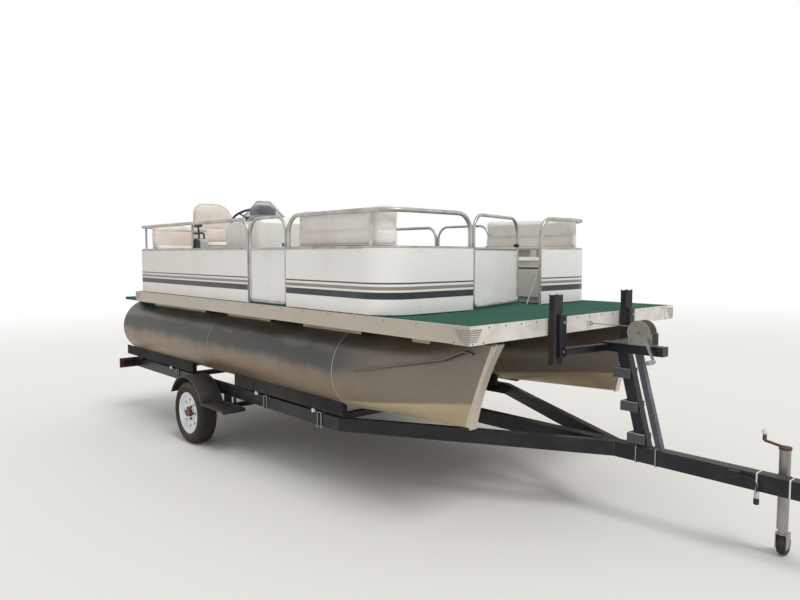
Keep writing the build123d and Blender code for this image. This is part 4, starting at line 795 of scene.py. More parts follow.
# %% Vinyl, mouldings and screen
def vinyl(name, light, warm):
    """Pebbled grain from cell distances, and a slow drift from light to warm."""
    finish = Finish(name, "vinyl")
    grain = finish.cells(620.0)
    clouds = finish.noise(3.1, 4.0)
    tone = finish.drift(clouds, light, warm)
    # Painted shade in the seams and creases.
    tone = finish.mix(finish.times(finish.shade_in_hollows(0.02), 0.75), tone, colour(148, 132, 112))
    creases = finish.noise(26.0, 4.0, 0.6)
    finish.set(base=tone, rough=finish.rise(clouds, 0.3, 0.7, 0.42, 0.56), gloss=0.4, coat=0.08,
               normal=finish.bump(grain, 0.0006, normal=finish.bump(creases, 0.0016)))
    return finish


def moulded(name, slot, light, warm, rough):
    """Smooth plastic with a faint ripple, a drift in tone and scuffs."""
    finish = Finish(name, slot)
    clouds = finish.noise(2.6, 4.0)
    scuffs = finish.noise(48.0, 6.0, 0.7)
    tone = finish.drift(clouds, light, warm)
    tone = finish.mix(finish.rise(scuffs, 0.66, 0.78, 0.0, 0.14), tone, colour(158, 146, 128))
    # Painted shade: darker in hollows and corners.
    tone = finish.mix(finish.times(finish.shade_in_hollows(0.05), 0.25), tone, colour(140, 128, 110))
    finish.set(base=tone, rough=finish.rise(scuffs, 0.4, 0.8, rough, rough + 0.25), coat=0.2,
               normal=finish.bump(finish.noise(7.0, 2.0), 0.0012))
    return finish


def tinted():
    """Smoke-tinted acrylic that lets most light through, with light dust and scratches."""
    finish = Finish("tinted_acrylic", "tinted_screen")
    dust = finish.noise(60.0, 5.0, 0.7)
    finish.set(base=finish.mix(finish.rise(dust, 0.5, 0.8), colour(48, 54, 54), colour(96, 98, 94)),
               rough=finish.rise(dust, 0.4, 0.8, 0.04, 0.16), coat=0.3,
               alpha=finish.rise(dust, 0.5, 0.8, 0.30, 0.42))
    return finish


WHITE_VINYL = vinyl("white_vinyl", colour(229, 226, 221), colour(216, 209, 199))
CREAM_VINYL = vinyl("cream_vinyl", colour(236, 228, 221), colour(222, 211, 200))
SHELL = moulded("cream_moulding", "moulding", colour(238, 236, 230), colour(226, 221, 211), 0.24)
COVER = moulded("grey_cover", "grey_cover", colour(150, 149, 162), colour(134, 133, 146), 0.42)
SCREEN = tinted()
dress(SHELL, "seat_bases", "console_shell")
dress(COVER, "instrument_pod")
dress(SCREEN, "windscreen")

# %% [markdown]
# Small plastics, rubbers and wood each get the same treatment at their own scale: a base
# of two near tones, a relief, dust where it settles, and in hollows a dust tone that is partly
# painted shade.

# %% Plastics, rubber, wood and lenses
def dusty(name, slot, dark, light, dust, rough, grain=90.0, relief=0.0005, dust_share=0.55,
          **more):
    """Two tones by fine noise, with dust on upward faces, and in hollows a dust tone that is partly
    painted shade.
    """
    finish = Finish(name, slot)
    fine = finish.noise(grain, 5.0, 0.65)
    clouds = finish.noise(6.0, 4.0)
    tone = finish.mix(finish.rise(fine, 0.35, 0.7), dark, light)
    dust_and_shade = finish.times(finish.rise(finish.facing_up(), -0.1, 0.9),
                         finish.rise(clouds, 0.3, 0.65, 0.2, 1.0))
    # In hollows the dust tone is also painted shade: it darkens the pale plastics and paints.
    dust_and_shade = finish.step("MAXIMUM", dust_and_shade, finish.times(finish.shade_in_hollows(0.02), 0.6))
    tone = finish.mix(finish.times(dust_and_shade, dust_share), tone, dust)
    finish.set(base=tone, rough=finish.rise(clouds, 0.3, 0.7, rough, rough + 0.12),
               normal=finish.bump(fine, relief), **more)
    return finish


EARTH = colour(128, 112, 94)
GUARD = dusty("mudguard_plastic", "black_plastic", colour(24, 25, 28), colour(46, 47, 52),
              EARTH, 0.45, dust_share=0.2)
KNOB = dusty("dark_plastic", "black_plastic", colour(20, 21, 24), colour(34, 36, 42),
             colour(90, 86, 82), 0.4, dust_share=0.25)
SLATE = dusty("slate_plastic", "black_plastic", colour(42, 48, 62), colour(60, 66, 82),
              colour(110, 106, 100), 0.38, dust_share=0.3)
TYRE = dusty("tyre_rubber_finish", "tyre_rubber", colour(34, 31, 29), colour(56, 51, 46),
             colour(122, 106, 88), 0.82, grain=160.0, dust_share=0.75)
CASTOR = dusty("castor_rubber", "wheel_rubber", colour(30, 30, 31), colour(52, 51, 50),
               EARTH, 0.7)
TREAD = dusty("step_rubber_finish", "step_rubber", colour(62, 66, 76), colour(92, 96, 106),
              colour(176, 172, 164), 0.75, grain=240.0, relief=0.0014, dust_share=0.9)
LENS = dusty("lamp_lens", "lamp_red", colour(62, 24, 20), colour(88, 34, 28),
             colour(120, 96, 80), 0.28, dust_share=0.35, coat=0.4)
PLUG = dusty("plug_body", "plug_plastic", colour(176, 178, 182), colour(198, 200, 204),
             colour(140, 132, 120), 0.42, dust_share=0.35)
LEAD = dusty("lead_sheath", "lead_rubber", colour(20, 20, 21), colour(38, 38, 40),
             colour(92, 84, 76), 0.55, dust_share=0.35)
POST = dusty("chair_post_paint", "chair_post", colour(176, 174, 168), colour(196, 194, 188),
             colour(150, 138, 122), 0.35)
RIM = dusty("white_rim_paint", "white_rim", colour(214, 217, 224), colour(232, 234, 238),
            colour(160, 138, 116), 0.26, dust_share=0.4, coat=0.3)
dress(KNOB, "chair_frame")
dress(TREAD, "winch_brace_and_blocks")
dress(LENS, "tail_lamps")
dress(PLUG, "trailer_plug")
dress(POST, "chair_pedestal")
dress(CASTOR, "jockey_wheel")
dress(RIM, "starboard_wheel_rim", "port_wheel_rim")
lead_curve.materials.append(LEAD.material)


def deck_wood():
    """Plies seen at the edge, and long weathered grain on the faces."""
    finish = Finish("deck_wood", "plywood")
    grain = finish.noise(1.0, 6.0, 0.6, finish.stretched(3.0, 40.0, 40.0))
    plies = finish.step("SINE", finish.times(finish.axis(2), 1900.0))
    tone = finish.mix(finish.rise(grain, 0.3, 0.7), colour(104, 86, 62), colour(150, 128, 96))
    tone = finish.mix(finish.rise(plies, -0.2, 0.6, 0.0, 0.3), tone, colour(82, 66, 48))
    finish.set(base=tone, rough=0.85, normal=finish.bump(grain, 0.0008))
    return finish


WOOD = deck_wood()
dress(WOOD, "deck_board")
print("finishes made:", len(bpy.data.materials))

# %% [markdown]
# A boat cushion is a vinyl bag over foam. Its seams hold their length and line, and the
# panels between them swell. So each pad starts a little small, as a closed form with soft
# edges, its seams are pinned, and Blender's cloth fills it with air. A point may move no
# further than a cap, and none may leave the space that its own solid holds.

# %% Cushions by cloth
CORNER_POINTS = 9
AIR_PRESSURE = 4.0
CLOTH_FRAMES = 20
SEAM_HOLD = 0.009
SEWN_DEPTH, SEWN_WIDTH = 0.008, 0.009


def outline(x, y, radii, count=CORNER_POINTS):
    """A rectangle in the plane with an arc of its own radius at each corner."""
    places = [(x[0], y[0]), (x[1], y[0]), (x[1], y[1]), (x[0], y[1])]
    points = []
    for index, ((px, py), radius) in enumerate(zip(places, radii)):
        angle = np.linspace(math.pi, 1.5 * math.pi, count) + index * math.pi / 2
        centre_x = px + radius * (1 if px == x[0] else -1)
        centre_y = py + radius * (1 if py == y[0] else -1)
        points.append(np.stack([centre_x + radius * np.cos(angle),
                                centre_y + radius * np.sin(angle)], -1))
    return np.concatenate(points)


class Pad:
    """The room that a cushion's solid holds, and the forms that fill it."""

    def __init__(self, x, y, z, radii, slack=0.012, soft=0.03):
        self.x, self.y, self.z = np.array(x), np.array(y), np.array(z)
        self.radii = np.array(radii, float)
        self.slack, self.soft = slack, soft

    def plan(self, inset):
        """The pad's outline, drawn in by inset."""
        inward = np.array([inset, -inset])
        return outline(self.x + inward, self.y + inward, np.maximum(self.radii - inset, 0.002))

    def start(self):
        """The closed form that the cloth swells from."""
        angle = np.linspace(0, math.pi / 2, 7)
        low, high = self.z[0] + 0.001, self.z[1] - self.slack
        inset = np.concatenate([1 - np.sin(angle), 1 - np.cos(angle)]) * self.soft + self.slack
        height = np.concatenate([low + self.soft * (1 - np.cos(angle)),
                                 high - self.soft * (1 - np.sin(angle))])
        rings = [np.column_stack([self.plan(d), np.full(4 * CORNER_POINTS, h)])
                 for d, h in zip(inset, height)]
        return skin(np.stack(rings))

    def within(self, points):
        """Points outside the pad's room are brought back to its walls and round corners."""
        held = np.clip(points, [self.x[0], self.y[0], self.z[0]], [self.x[1], self.y[1], self.z[1]])
        ends = [(0, 0), (1, 0), (1, 1), (0, 1)]
        for (i, j), radius in zip(ends, self.radii):
            sign = np.array([1 if i else -1, 1 if j else -1])
            centre = np.array([self.x[i], self.y[j]]) - sign * radius
            away = held[:, :2] - centre
            length = np.linalg.norm(away, axis=1)
            out = ((away * sign) > 0).all(1) & (length > radius)
            held[out, :2] = centre + away[out] * (radius / length[out])[:, None]
        return held

    def piping(self, height, radius=0.0045):
        """The rolled seam that runs round the pad at one height."""
        plan = self.plan(self.slack)
        keep = np.linalg.norm(plan - np.roll(plan, 1, 0), axis=1) > 1e-5
        path = np.column_stack([plan[keep], np.full(keep.sum(), height)])
        return tube(path, radius, count=8, looped=True)

    def swell(self, voxel, seams, sewn=()):
        """The finished pad: swelled by cloth, drawn in at its sewn lines, kept in its room."""
        points, faces = puffed(self.start(), voxel, self.slack + 0.004, seams)
        return channels((self.within(points), faces), sewn)


def read_mesh(mesh):
    """A mesh as points and faces, its faces grouped by their number of corners."""
    points = np.empty(len(mesh.vertices) * 3)
    mesh.vertices.foreach_get("co", points)
    corners = np.empty(len(mesh.loops), int)
    mesh.loops.foreach_get("vertex_index", corners)
    sizes = np.empty(len(mesh.polygons), int)
    mesh.polygons.foreach_get("loop_total", sizes)
    starts = np.cumsum(sizes) - sizes
    blocks = [corners[starts[sizes == n][:, None] + np.arange(n)] for n in np.unique(sizes)]
    return points.reshape(-1, 3), blocks


def puffed(shape, voxel, cap, seams):
    """A closed form after its cloth has swelled; points near a seam's plane are pinned."""
    scene = bpy.context.scene
    points, faces = shape
    mesh = bpy.data.meshes.new("pad_start")
    mesh.from_pydata(points.tolist(), [], [face for block in faces for face in block.tolist()])
    start = bpy.data.objects.new("pad_start", mesh)
    scene.collection.objects.link(start)
    remesh = start.modifiers.new("voxels", "REMESH")
    remesh.mode = "VOXEL"
    remesh.voxel_size = voxel
    smooth = start.modifiers.new("smooth", "SMOOTH")
    smooth.iterations = 4
    graph = bpy.context.evaluated_depsgraph_get()
    mesh = bpy.data.meshes.new_from_object(start.evaluated_get(graph))
    bpy.data.objects.remove(start)
    before, blocks = read_mesh(mesh)
    pad = bpy.data.objects.new("pad_cloth", mesh)
    scene.collection.objects.link(pad)
    group = pad.vertex_groups.new(name="seams")
    near = np.min([np.abs(before[:, axis] - value) for axis, value in seams], axis=0)
    group.add(np.flatnonzero(near < SEAM_HOLD).tolist(), 1.0, "REPLACE")
    cloth = pad.modifiers.new("cloth", "CLOTH")
    cloth.settings.vertex_group_mass = "seams"
    cloth.settings.use_pressure = True
    cloth.settings.uniform_pressure_force = AIR_PRESSURE
    cloth.settings.effector_weights.gravity = 0
    cloth.settings.quality = 4
    cloth.point_cache.frame_start = 1
    cloth.point_cache.frame_end = CLOTH_FRAMES
    for number in range(1, CLOTH_FRAMES + 1):
        scene.frame_set(number)
    graph = bpy.context.evaluated_depsgraph_get()
    after = read_mesh(pad.evaluated_get(graph).to_mesh())[0]
    bpy.data.objects.remove(pad)
    scene.frame_set(1)
    step = after - before
    length = np.linalg.norm(step, axis=1)[:, None]
    return before + step * np.minimum(1.0, cap / np.maximum(length, 1e-9)), blocks


def channels(shape, lines):
    """Sewn lines: points near a plane across the pad are drawn towards its middle."""
    points, faces = shape
    middle = (points.min(0) + points.max(0)) / 2
    drawn = points.copy()
    for axis, value in lines:
        pull = SEWN_DEPTH * np.exp(-((points[:, axis] - value) / SEWN_WIDTH) ** 2)
        away = points - middle
        away[:, axis] = 0.0
        away /= np.maximum(np.linalg.norm(away, axis=1)[:, None], 1e-6)
        drawn -= away * pull[:, None]
    return drawn, faces


def upholster(name, shape, finish, body, node):
    """A pad with one level of subdivision, in place of its plain solid."""
    piece = build(name, shape, finish, body, smooth=80, replaces=(node,))
    rounder = piece.modifiers.new("rounder", "SUBSURF")
    rounder.levels = rounder.render_levels = 1


print("cushion helpers ready")

# %% [markdown]
# Each lounge has a long seat pad on its moulded base and a back pad on white posts. The
# back has a fat roll along its top with a sewn seam under it, and its forward outer corner
# follows the fence. The two sides are one shape, mirrored.

# %% Lounge pads
LOUNGE_X = (3.075, 4.085)
LOUNGE_OUTER = 1.165
BACK_DEPTH, SEAT_DEPTH = 0.150, 0.430
SEAT_Z = (0.2843, 0.3840)
BACK_Z = (0.4503, 0.7457)
ROLL_SEAM = BACK_Z[0] + 0.115
inner = LOUNGE_OUTER - BACK_DEPTH
SEAT_SEAMS = (SEAT_Z[0] + 0.018, SEAT_Z[1] - 0.030)

seat_pad = Pad(LOUNGE_X, (inner - SEAT_DEPTH, inner - 0.0005), SEAT_Z, (0.03,) * 4, soft=0.018)
back_pad = Pad(LOUNGE_X, (inner, LOUNGE_OUTER), BACK_Z, (0.03, 0.02, 0.125, 0.03), soft=0.045)
lounge_seat = seat_pad.swell(0.010, [(2, z) for z in SEAT_SEAMS], [(0, sum(LOUNGE_X) / 2)])
lounge_back = back_pad.swell(0.010, [(2, ROLL_SEAM), (2, BACK_Z[0] + 0.02)], [(2, ROLL_SEAM)])
lounge_trim = join(*[seat_pad.piping(z) for z in SEAT_SEAMS], back_pad.piping(BACK_Z[0] + 0.02))
for side, sign in SIDES[::-1]:
    flip = np.diag([1.0, sign, 1.0])
    for part, pad in (("seat", lounge_seat), ("back", lounge_back)):
        upholster(f"{side}_lounge_{part}", turned(pad, flip), WHITE_VINYL, BOAT, "lounge_pads")
    build(f"{side}_lounge_piping", turned(lounge_trim, flip), CREAM_VINYL)

# %% [markdown]
# The bench across the stern is three pads wide, with a back that rises to the fence's top
# rail. In the photograph the starboard end of its back is lumpy and slack.

# %% Stern bench pads
BENCH_X = (0.195, 0.685)
BENCH_HALF = 1.130
BENCH_BACK_DEPTH = 0.130
BENCH_BACK_Z = (SEAT_Z[0], 0.7375)
BENCH_SEAMS = (SEAT_Z[1] + 0.115, BENCH_BACK_Z[1] - 0.085)
BENCH_PARTS = (("starboard", -1.0, -0.334), ("middle", -0.332, 0.332), ("port", 0.334, 1.0))

for part, start, end in BENCH_PARTS:
    y = (start * BENCH_HALF, end * BENCH_HALF)
    middle_x = BENCH_X[0] + BENCH_BACK_DEPTH
    seat_pad = Pad((middle_x, BENCH_X[1]), y, SEAT_Z, (0.02,) * 4, soft=0.018)
    back_pad = Pad((BENCH_X[0], middle_x - 0.0005), y, BENCH_BACK_Z, (0.03,) * 4, soft=0.04)
    seat = seat_pad.swell(0.010, [(2, z) for z in SEAT_SEAMS])
    back_lines = [(2, z) for z in BENCH_SEAMS]
    points, faces = back_pad.swell(0.010, back_lines, back_lines)
    if part == "starboard":
        high = np.clip((points[:, 2] - BENCH_SEAMS[1]) / 0.05, 0, 1)
        lump = np.sin(points[:, 1] * 41.0) * 0.5 + np.sin(points[:, 1] * 17.0 + 1.0) * 0.5
        points[:, 2] -= high * (0.010 + 0.010 * lump)
    upholster(f"bench_{part}_seat", seat, CREAM_VINYL, BOAT, "bench_pads")
    upholster(f"bench_{part}_back", (points, faces), CREAM_VINYL, BOAT, "bench_pads")
    build(f"bench_{part}_piping", join(*[seat_pad.piping(z) for z in SEAT_SEAMS]), WHITE_VINYL)

# %% [markdown]
# The helm chair has a tall back, a thick seat and two arm pads. The back's port shoulder is
# rounder than the other. The back is made lying down and then turned up.

# %% Helm chair pads
CHAIR_PLACE = CHAIR_ON_DECK * (1.0, 1.0, 0.0)
CHAIR_BODY = "helm_chair"
CHAIR_HALF = 0.2275
CHAIR_LENGTH = 0.470
CHAIR_SEAT_Z = (0.4228, 0.5328)
CHAIR_TOP = 0.943
CHAIR_BACK_DEPTH = 0.110
ARM_Y, ARM_HALF = 0.2565, 0.025
UPRIGHT = np.array([[0.0, 0.0, 1.0], [1.0, 0.0, 0.0], [0.0, 1.0, 0.0]])

seat_back_x = -CHAIR_LENGTH / 2 + CHAIR_BACK_DEPTH
seat_pad = Pad((seat_back_x, CHAIR_LENGTH / 2), (-CHAIR_HALF, CHAIR_HALF), CHAIR_SEAT_Z,
               (0.03, 0.09, 0.09, 0.03), soft=0.024)
chair_seams = (CHAIR_SEAT_Z[0] + 0.018, CHAIR_SEAT_Z[1] - 0.036)
chair_seat = seat_pad.swell(0.008, [(2, z) for z in chair_seams])
back_pad = Pad((-CHAIR_HALF, CHAIR_HALF), (CHAIR_SEAT_Z[1] - 0.02, CHAIR_TOP),
               (-CHAIR_LENGTH / 2, seat_back_x), (0.05, 0.05, 0.21, 0.11), soft=0.034)
back_seams = (-CHAIR_LENGTH / 2 + 0.035, seat_back_x - 0.035)
chair_back = back_pad.swell(0.008, [(2, z) for z in back_seams], [(1, CHAIR_SEAT_Z[1] + 0.14)])
arm_pad = Pad((-0.150, 0.150), (-ARM_HALF, ARM_HALF), (0.6253, 0.6747), (0.022,) * 4,
              slack=0.006, soft=0.012)
chair_arm = arm_pad.swell(0.006, [(2, 0.632)])
chair_pads = [("chair_seat", chair_seat), ("chair_back", turned(chair_back, UPRIGHT))]
for side, sign in SIDES:
    chair_pads.append((f"chair_{side}_arm", turned(chair_arm, np.eye(3), (0.0, sign * ARM_Y, 0.0))))
for name, (points, faces) in chair_pads:
    upholster(name, (points + CHAIR_PLACE, faces), CREAM_VINYL, CHAIR_BODY, "chair_pads")
points, faces = join(*[seat_pad.piping(z) for z in chair_seams],
                     *[turned(back_pad.piping(z), UPRIGHT) for z in back_seams])
build("chair_piping", (points + CHAIR_PLACE, faces), WHITE_VINYL, CHAIR_BODY)

# %% [markdown]
# A trailer tyre has five plain ribs between four grooves, with short slots across its two
# shoulders. The tread is one grid round the wheel: each groove and slot is a depth taken
# off the radius. The side walls have two raised rings that keep kerbs off the rubber.

# %% Tyres
AXLE_X, AXLE_Z = 1.283, -1.123
TYRE_Y = 1.1575
TYRE_RADIUS = 0.298
FLANGE_RADIUS = 0.1985
RIM_RADIUS = 0.1875
GROOVES = (-0.039, -0.013, 0.013, 0.039)
GROOVE_HALF, GROOVE_DEPTH = 0.0040, 0.0065
SLOTS_ROUND = 64
SLOT_DEPTH = 0.0045
STEPS_A_SLOT = 5


def tread_profile():
    """Radius and place across of one cut through the tyre, from its inner bead outwards."""
    side = [(RIM_RADIUS, -0.070), (FLANGE_RADIUS, -0.0722), (0.207, -0.082), (0.2165, -0.0865),
            (0.2195, -0.0880), (0.2230, -0.0868), (0.236, -0.0915), (0.250, -0.0903),
            (0.2535, -0.0915), (0.2570, -0.0895), (0.272, -0.0850), (0.284, -0.0775),
            (0.2925, -0.0680)]
    across = [-0.062, -0.0555, -0.050]
    for groove in GROOVES:
        across += [groove - GROOVE_HALF - 0.0006, groove - GROOVE_HALF * 0.8,
                   groove + GROOVE_HALF * 0.8, groove + GROOVE_HALF + 0.0006]
    across += [0.050, 0.0555, 0.062]
    across = np.array(across)
    crown = TYRE_RADIUS - 0.0030 * (np.abs(across) / 0.062) ** 3
    cut = np.abs(across[:, None] - np.array(GROOVES)[None]).min(1) < GROOVE_HALF
    tread = np.column_stack([crown - GROOVE_DEPTH * cut, across])
    outer = [(radius, -place) for radius, place in side[::-1]]
    return np.concatenate([side, tread, outer])


def tyre_shape(sign):
    """The whole tyre of one side."""
    profile = tread_profile()
    count = SLOTS_ROUND * STEPS_A_SLOT
    angle = np.linspace(0, 2 * math.pi, count, endpoint=False)
    slot = (np.arange(count) % STEPS_A_SLOT) < 1.5
    shoulder = (np.abs(profile[:, 1]) > 0.0495) & (profile[:, 0] > 0.2835)
    depth = SLOT_DEPTH * shoulder[:, None] * slot[None]
    radius = profile[:, :1] - depth
    grid = np.stack([
        AXLE_X + radius * np.cos(angle),
        np.broadcast_to(sign * (TYRE_Y + profile[:, 1:]), radius.shape),
        AXLE_Z + radius * np.sin(angle),
    ], -1)
    return skin(grid, looped=True)


for side, sign in SIDES:
    build(f"{side}_treaded_tyre", tyre_shape(sign), TYRE, f"{side}_road_wheel", smooth=35,
          replaces=(f"{side}_tyre",))

# %% [markdown]
# The wheel's hub cap, nuts and valve. The cap and nuts are rusty, as in the photograph.
# Each nut is a six-sided form with a rounded end over the solid's plain one.

# %% Hub caps, nuts and valves
HUB_FACE = TYRE_Y + 0.050
NUT_CIRCLE = 0.060


def hex_nut(radius=0.0118, tall=0.018):
    """A nut with its chamfer, standing on the plane z = 0."""
    rings = [(radius * 0.98, 0.0), (radius, 0.001), (radius, tall * 0.72), (radius * 0.86, tall)]
    corners = circle(1.0, 6)
    grid = [np.column_stack([corners * r, np.full(6, z)]) for r, z in rings]
    return skin(np.stack(grid))


def on_wheel(shape, sign, radius, angle):
    """A shape placed on the wheel's outer face at a radius and an angle."""
    turn = facing(sideways(sign))
    place = (AXLE_X + radius * math.cos(angle), sign * HUB_FACE, AXLE_Z + radius * math.sin(angle))
    return turned(shape, turn, place)


for side, sign in SIDES:
    cap = lathe([(0.0005, 0.0), (0.040, 0.0), (0.041, 0.003), (0.0330, 0.006), (0.0332, 0.038),
                 (0.030, 0.0435), (0.018, 0.0445), (0.0005, 0.0447)],
                (AXLE_X, sign * HUB_FACE, AXLE_Z), sideways(sign), 40)
    nuts = [on_wheel(hex_nut(), sign, NUT_CIRCLE, 2 * math.pi * k / 5) for k in range(5)]
    build(f"{side}_hub_cap_and_nuts", join(cap, *nuts), RUST, f"{side}_road_wheel")
    valve = tube(bend([(AXLE_X + 0.150, sign * (HUB_FACE + 0.004), AXLE_Z + 0.02),
                       (AXLE_X + 0.150, sign * (HUB_FACE + 0.018), AXLE_Z + 0.02),
                       (AXLE_X + 0.142, sign * (HUB_FACE + 0.034), AXLE_Z + 0.02)], [0.012]),
                 0.0035, 10)
    build(f"{side}_valve", valve, KNOB, f"{side}_road_wheel")

# %% [markdown]
# Each mudguard is one pressed sheet: it rises over the tyre in an arc and runs forward as
# a flat step. Its two long edges carry a pair of raised ribs and turn down in a short lip.
# The step has low treads across it.

# %% Mudguards
GUARD_RADIUS = 0.356
GUARD_WALL = 0.004
GUARD_INNER, GUARD_OUTER = 1.036, 1.262
GUARD_AFT, GUARD_FORE = math.radians(153), math.radians(24)
STEP_LENGTH = 0.430
BRACKET, BRACKET_WALL, BRACKET_REACH = 0.040, 0.008, 0.024
RAIL_OUTER, RAIL_LOW = 1.020, -0.920


def guard_section():
    """The sheet's cut: place across from its middle, height over its inner radius."""
    half = (GUARD_OUTER - GUARD_INNER) / 2
    top = [(-half, -0.012), (-half + 0.0005, 0.0040), (-half + 0.005, 0.0065),
           (-half + 0.011, 0.0065), (-half + 0.014, 0.0042), (-half + 0.019, 0.0042),
           (-half + 0.022, 0.0062), (-half + 0.027, 0.0062), (-half + 0.030, 0.0040)]
    top += [(-across, tall) for across, tall in top[::-1]]
    under = [(half - 0.0035, -0.012), (half - 0.0038, 0.0008), (0.0, 0.0006),
             (-half + 0.0038, 0.0008), (-half + 0.0035, -0.012)]
    return np.array(top + under)


angle = np.linspace(GUARD_AFT, GUARD_FORE, 56)
arc = np.column_stack([AXLE_X + GUARD_RADIUS * np.cos(angle), np.zeros(56),
                       AXLE_Z + GUARD_RADIUS * np.sin(angle)])
STEP_START, STEP_Z = arc[-1, 0], arc[-1, 2]
STEP_END = STEP_START + STEP_LENGTH
run = np.linspace(STEP_START, STEP_END, 14)[1:]
guard_path = np.vstack([arc, np.column_stack([run, np.zeros(13), np.full(13, STEP_Z)])])
guard = [carry(guard_section(), guard_path)]
for x in np.arange(STEP_START + 0.05, STEP_END - 0.03, 0.028):
    guard.append(softened((x, -0.075, STEP_Z + 0.003),
                          (x + 0.010, 0.075, STEP_Z + 0.0068), 0.0018, 8))
guard.append(softened((STEP_END - 0.004, -0.1125, STEP_Z - 0.028),
                      (STEP_END, 0.1125, STEP_Z + 0.005), 0.0015, 12))
guard = join(*guard)
guard_middle = (GUARD_INNER + GUARD_OUTER) / 2
brackets = []
crown_z = AXLE_Z + GUARD_RADIUS
for x, under_z in ((AXLE_X, crown_z), (STEP_END - STEP_LENGTH / 2, STEP_Z)):
    low = min(under_z - GUARD_WALL, RAIL_LOW + BRACKET)
    high = max(under_z, RAIL_LOW + 0.1 - BRACKET)
    aft, fore = x - BRACKET / 2, x + BRACKET / 2
    brackets.append(softened((aft, RAIL_OUTER, low),
                             (fore, RAIL_OUTER + BRACKET_WALL, high), 0.002))
    brackets.append(softened((aft, RAIL_OUTER, under_z - BRACKET_WALL),
                             (fore, GUARD_INNER + BRACKET_REACH, under_z + 0.001), 0.002))
    for z in (low + 0.018, high - 0.018):
        brackets.append(turned(hex_nut(0.008, 0.008), facing((0.0, 1.0, 0.0)),
                               (x, RAIL_OUTER + BRACKET_WALL, z)))
brackets = join(*brackets)
for side, sign in SIDES:
    flip = np.diag([1.0, sign, 1.0])
    build(f"{side}_mudguard", turned(guard, flip, (0.0, sign * guard_middle, 0.0)), GUARD, BOAT,
          smooth=30, replaces=("mudguards",))
    build(f"{side}_mudguard_brackets", turned(brackets, flip), BLACK)

# %% [markdown]
# The steering wheel has a padded rim with finger waves on its inner side, three flat
# spokes that widen towards the hub, and a domed centre cap.

# %% Steering wheel
HELM_Y = -0.690
DASH_SLOPE = math.atan2(0.110, 0.190)
DASH_MIDDLE = np.array([1.576, HELM_Y, 0.679])
COLUMN_WAY = np.array([-math.sin(DASH_SLOPE), 0.0, math.cos(DASH_SLOPE)])
WHEEL_CENTRE = DASH_MIDDLE + COLUMN_WAY * 0.085
WHEEL_RIM, WHEEL_TUBE = 0.165, 0.011
WAVES = 30

WHEEL_TURN = np.column_stack([[0.0, 1.0, 0.0], np.cross(COLUMN_WAY, [0.0, 1.0, 0.0]), COLUMN_WAY])
around = np.linspace(0, 2 * math.pi, WAVES * 6, endpoint=False)[:, None]
about = np.linspace(0, 2 * math.pi, 16, endpoint=False)[None, :]
inner_side = np.clip(-np.cos(about), 0, 1)
thick = WHEEL_TUBE * (1 - 0.16 * inner_side * (0.5 + 0.5 * np.cos(WAVES * around)))
out = WHEEL_RIM + thick * np.cos(about)
rim = skin(np.stack([out * np.cos(around), out * np.sin(around),
                     thick * np.sin(about)], -1), looped=True)
spokes = []
for angle in (90, 210, 330):
    radius = np.linspace(0.020, 0.157, 12)
    half = np.interp(radius, [0.020, 0.06, 0.157], [0.016, 0.0085, 0.0075])
    corners = np.array([(-1.0, -0.5), (-0.8, -1.0), (0.8, -1.0), (1.0, -0.5),
                        (1.0, 0.5), (0.8, 1.0), (-0.8, 1.0), (-1.0, 0.5)])
    rings = [np.column_stack([np.full(8, r), corners[:, 0] * h, corners[:, 1] * 0.0035])
             for r, h in zip(radius, half)]
    spokes.append(turned(skin(np.stack(rings)), about_z(math.radians(angle))))
hub = lathe([(0.0005, -0.015), (0.024, -0.015), (0.030, -0.011), (0.034, -0.004), (0.034, 0.005),
             (0.030, 0.009), (0.024, 0.0095), (0.020, 0.0125), (0.010, 0.0148), (0.0005, 0.0150)],
            ORIGIN, UPWARD, 36)
build("steering_wheel_with_grip", turned(join(rim, *spokes, hub), WHEEL_TURN, WHEEL_CENTRE), KNOB,
      "steering_wheel", smooth=50, replaces=("steering_wheel",))

# %% [markdown]
# The throttle's box is a dark housing with a lighter cover over its forward top corner.
# The lever tapers up from a pivot disc to a handle shaped like a T, with a trim button.

# %% Throttle control
THROTTLE_X, THROTTLE_Y = 1.400, -1.1372
THROTTLE_LOW = 0.455
BOX_LENGTH, BOX_DEPTH, BOX_HEIGHT = 0.190, 0.080, 0.092
GRIP_HALF = 0.062
SIDEWAYS = np.array([[1.0, 0.0, 0.0], [0.0, 0.0, 1.0], [0.0, 1.0, 0.0]])
box_x = (THROTTLE_X - BOX_LENGTH / 2, THROTTLE_X + BOX_LENGTH / 2)
box_y = (THROTTLE_Y - BOX_DEPTH / 2, THROTTLE_Y + BOX_DEPTH / 2)
box_z = (THROTTLE_LOW, THROTTLE_LOW + BOX_HEIGHT)
housing = Pad(box_x, box_z, box_y, (0.004, 0.004, 0.032, 0.032), slack=0.0012, soft=0.005)
lever_top = np.array([THROTTLE_X - 0.026, THROTTLE_Y, box_z[1] - 0.020 + 0.150])
pivot = np.array([THROTTLE_X - 0.010, THROTTLE_Y, box_z[1] - 0.020])
lever_path = np.linspace(pivot, lever_top, 8)
lever_form = carry(outline((-0.009, 0.009), (-0.009, 0.009), (0.004,) * 4, 3), lever_path,
                   hint=(0.0, 1.0, 0.0), scale=np.linspace(1.0, 0.8, 8))
grip = lathe([(0.0005, -GRIP_HALF), (0.010, -GRIP_HALF), (0.0150, -GRIP_HALF + 0.003),
              (0.0170, -GRIP_HALF + 0.010), (0.0155, -0.020), (0.0150, 0.0), (0.0155, 0.020),
              (0.0170, GRIP_HALF - 0.010), (0.0150, GRIP_HALF - 0.003), (0.010, GRIP_HALF),
              (0.0005, GRIP_HALF)], lever_top, FORWARD, 20)
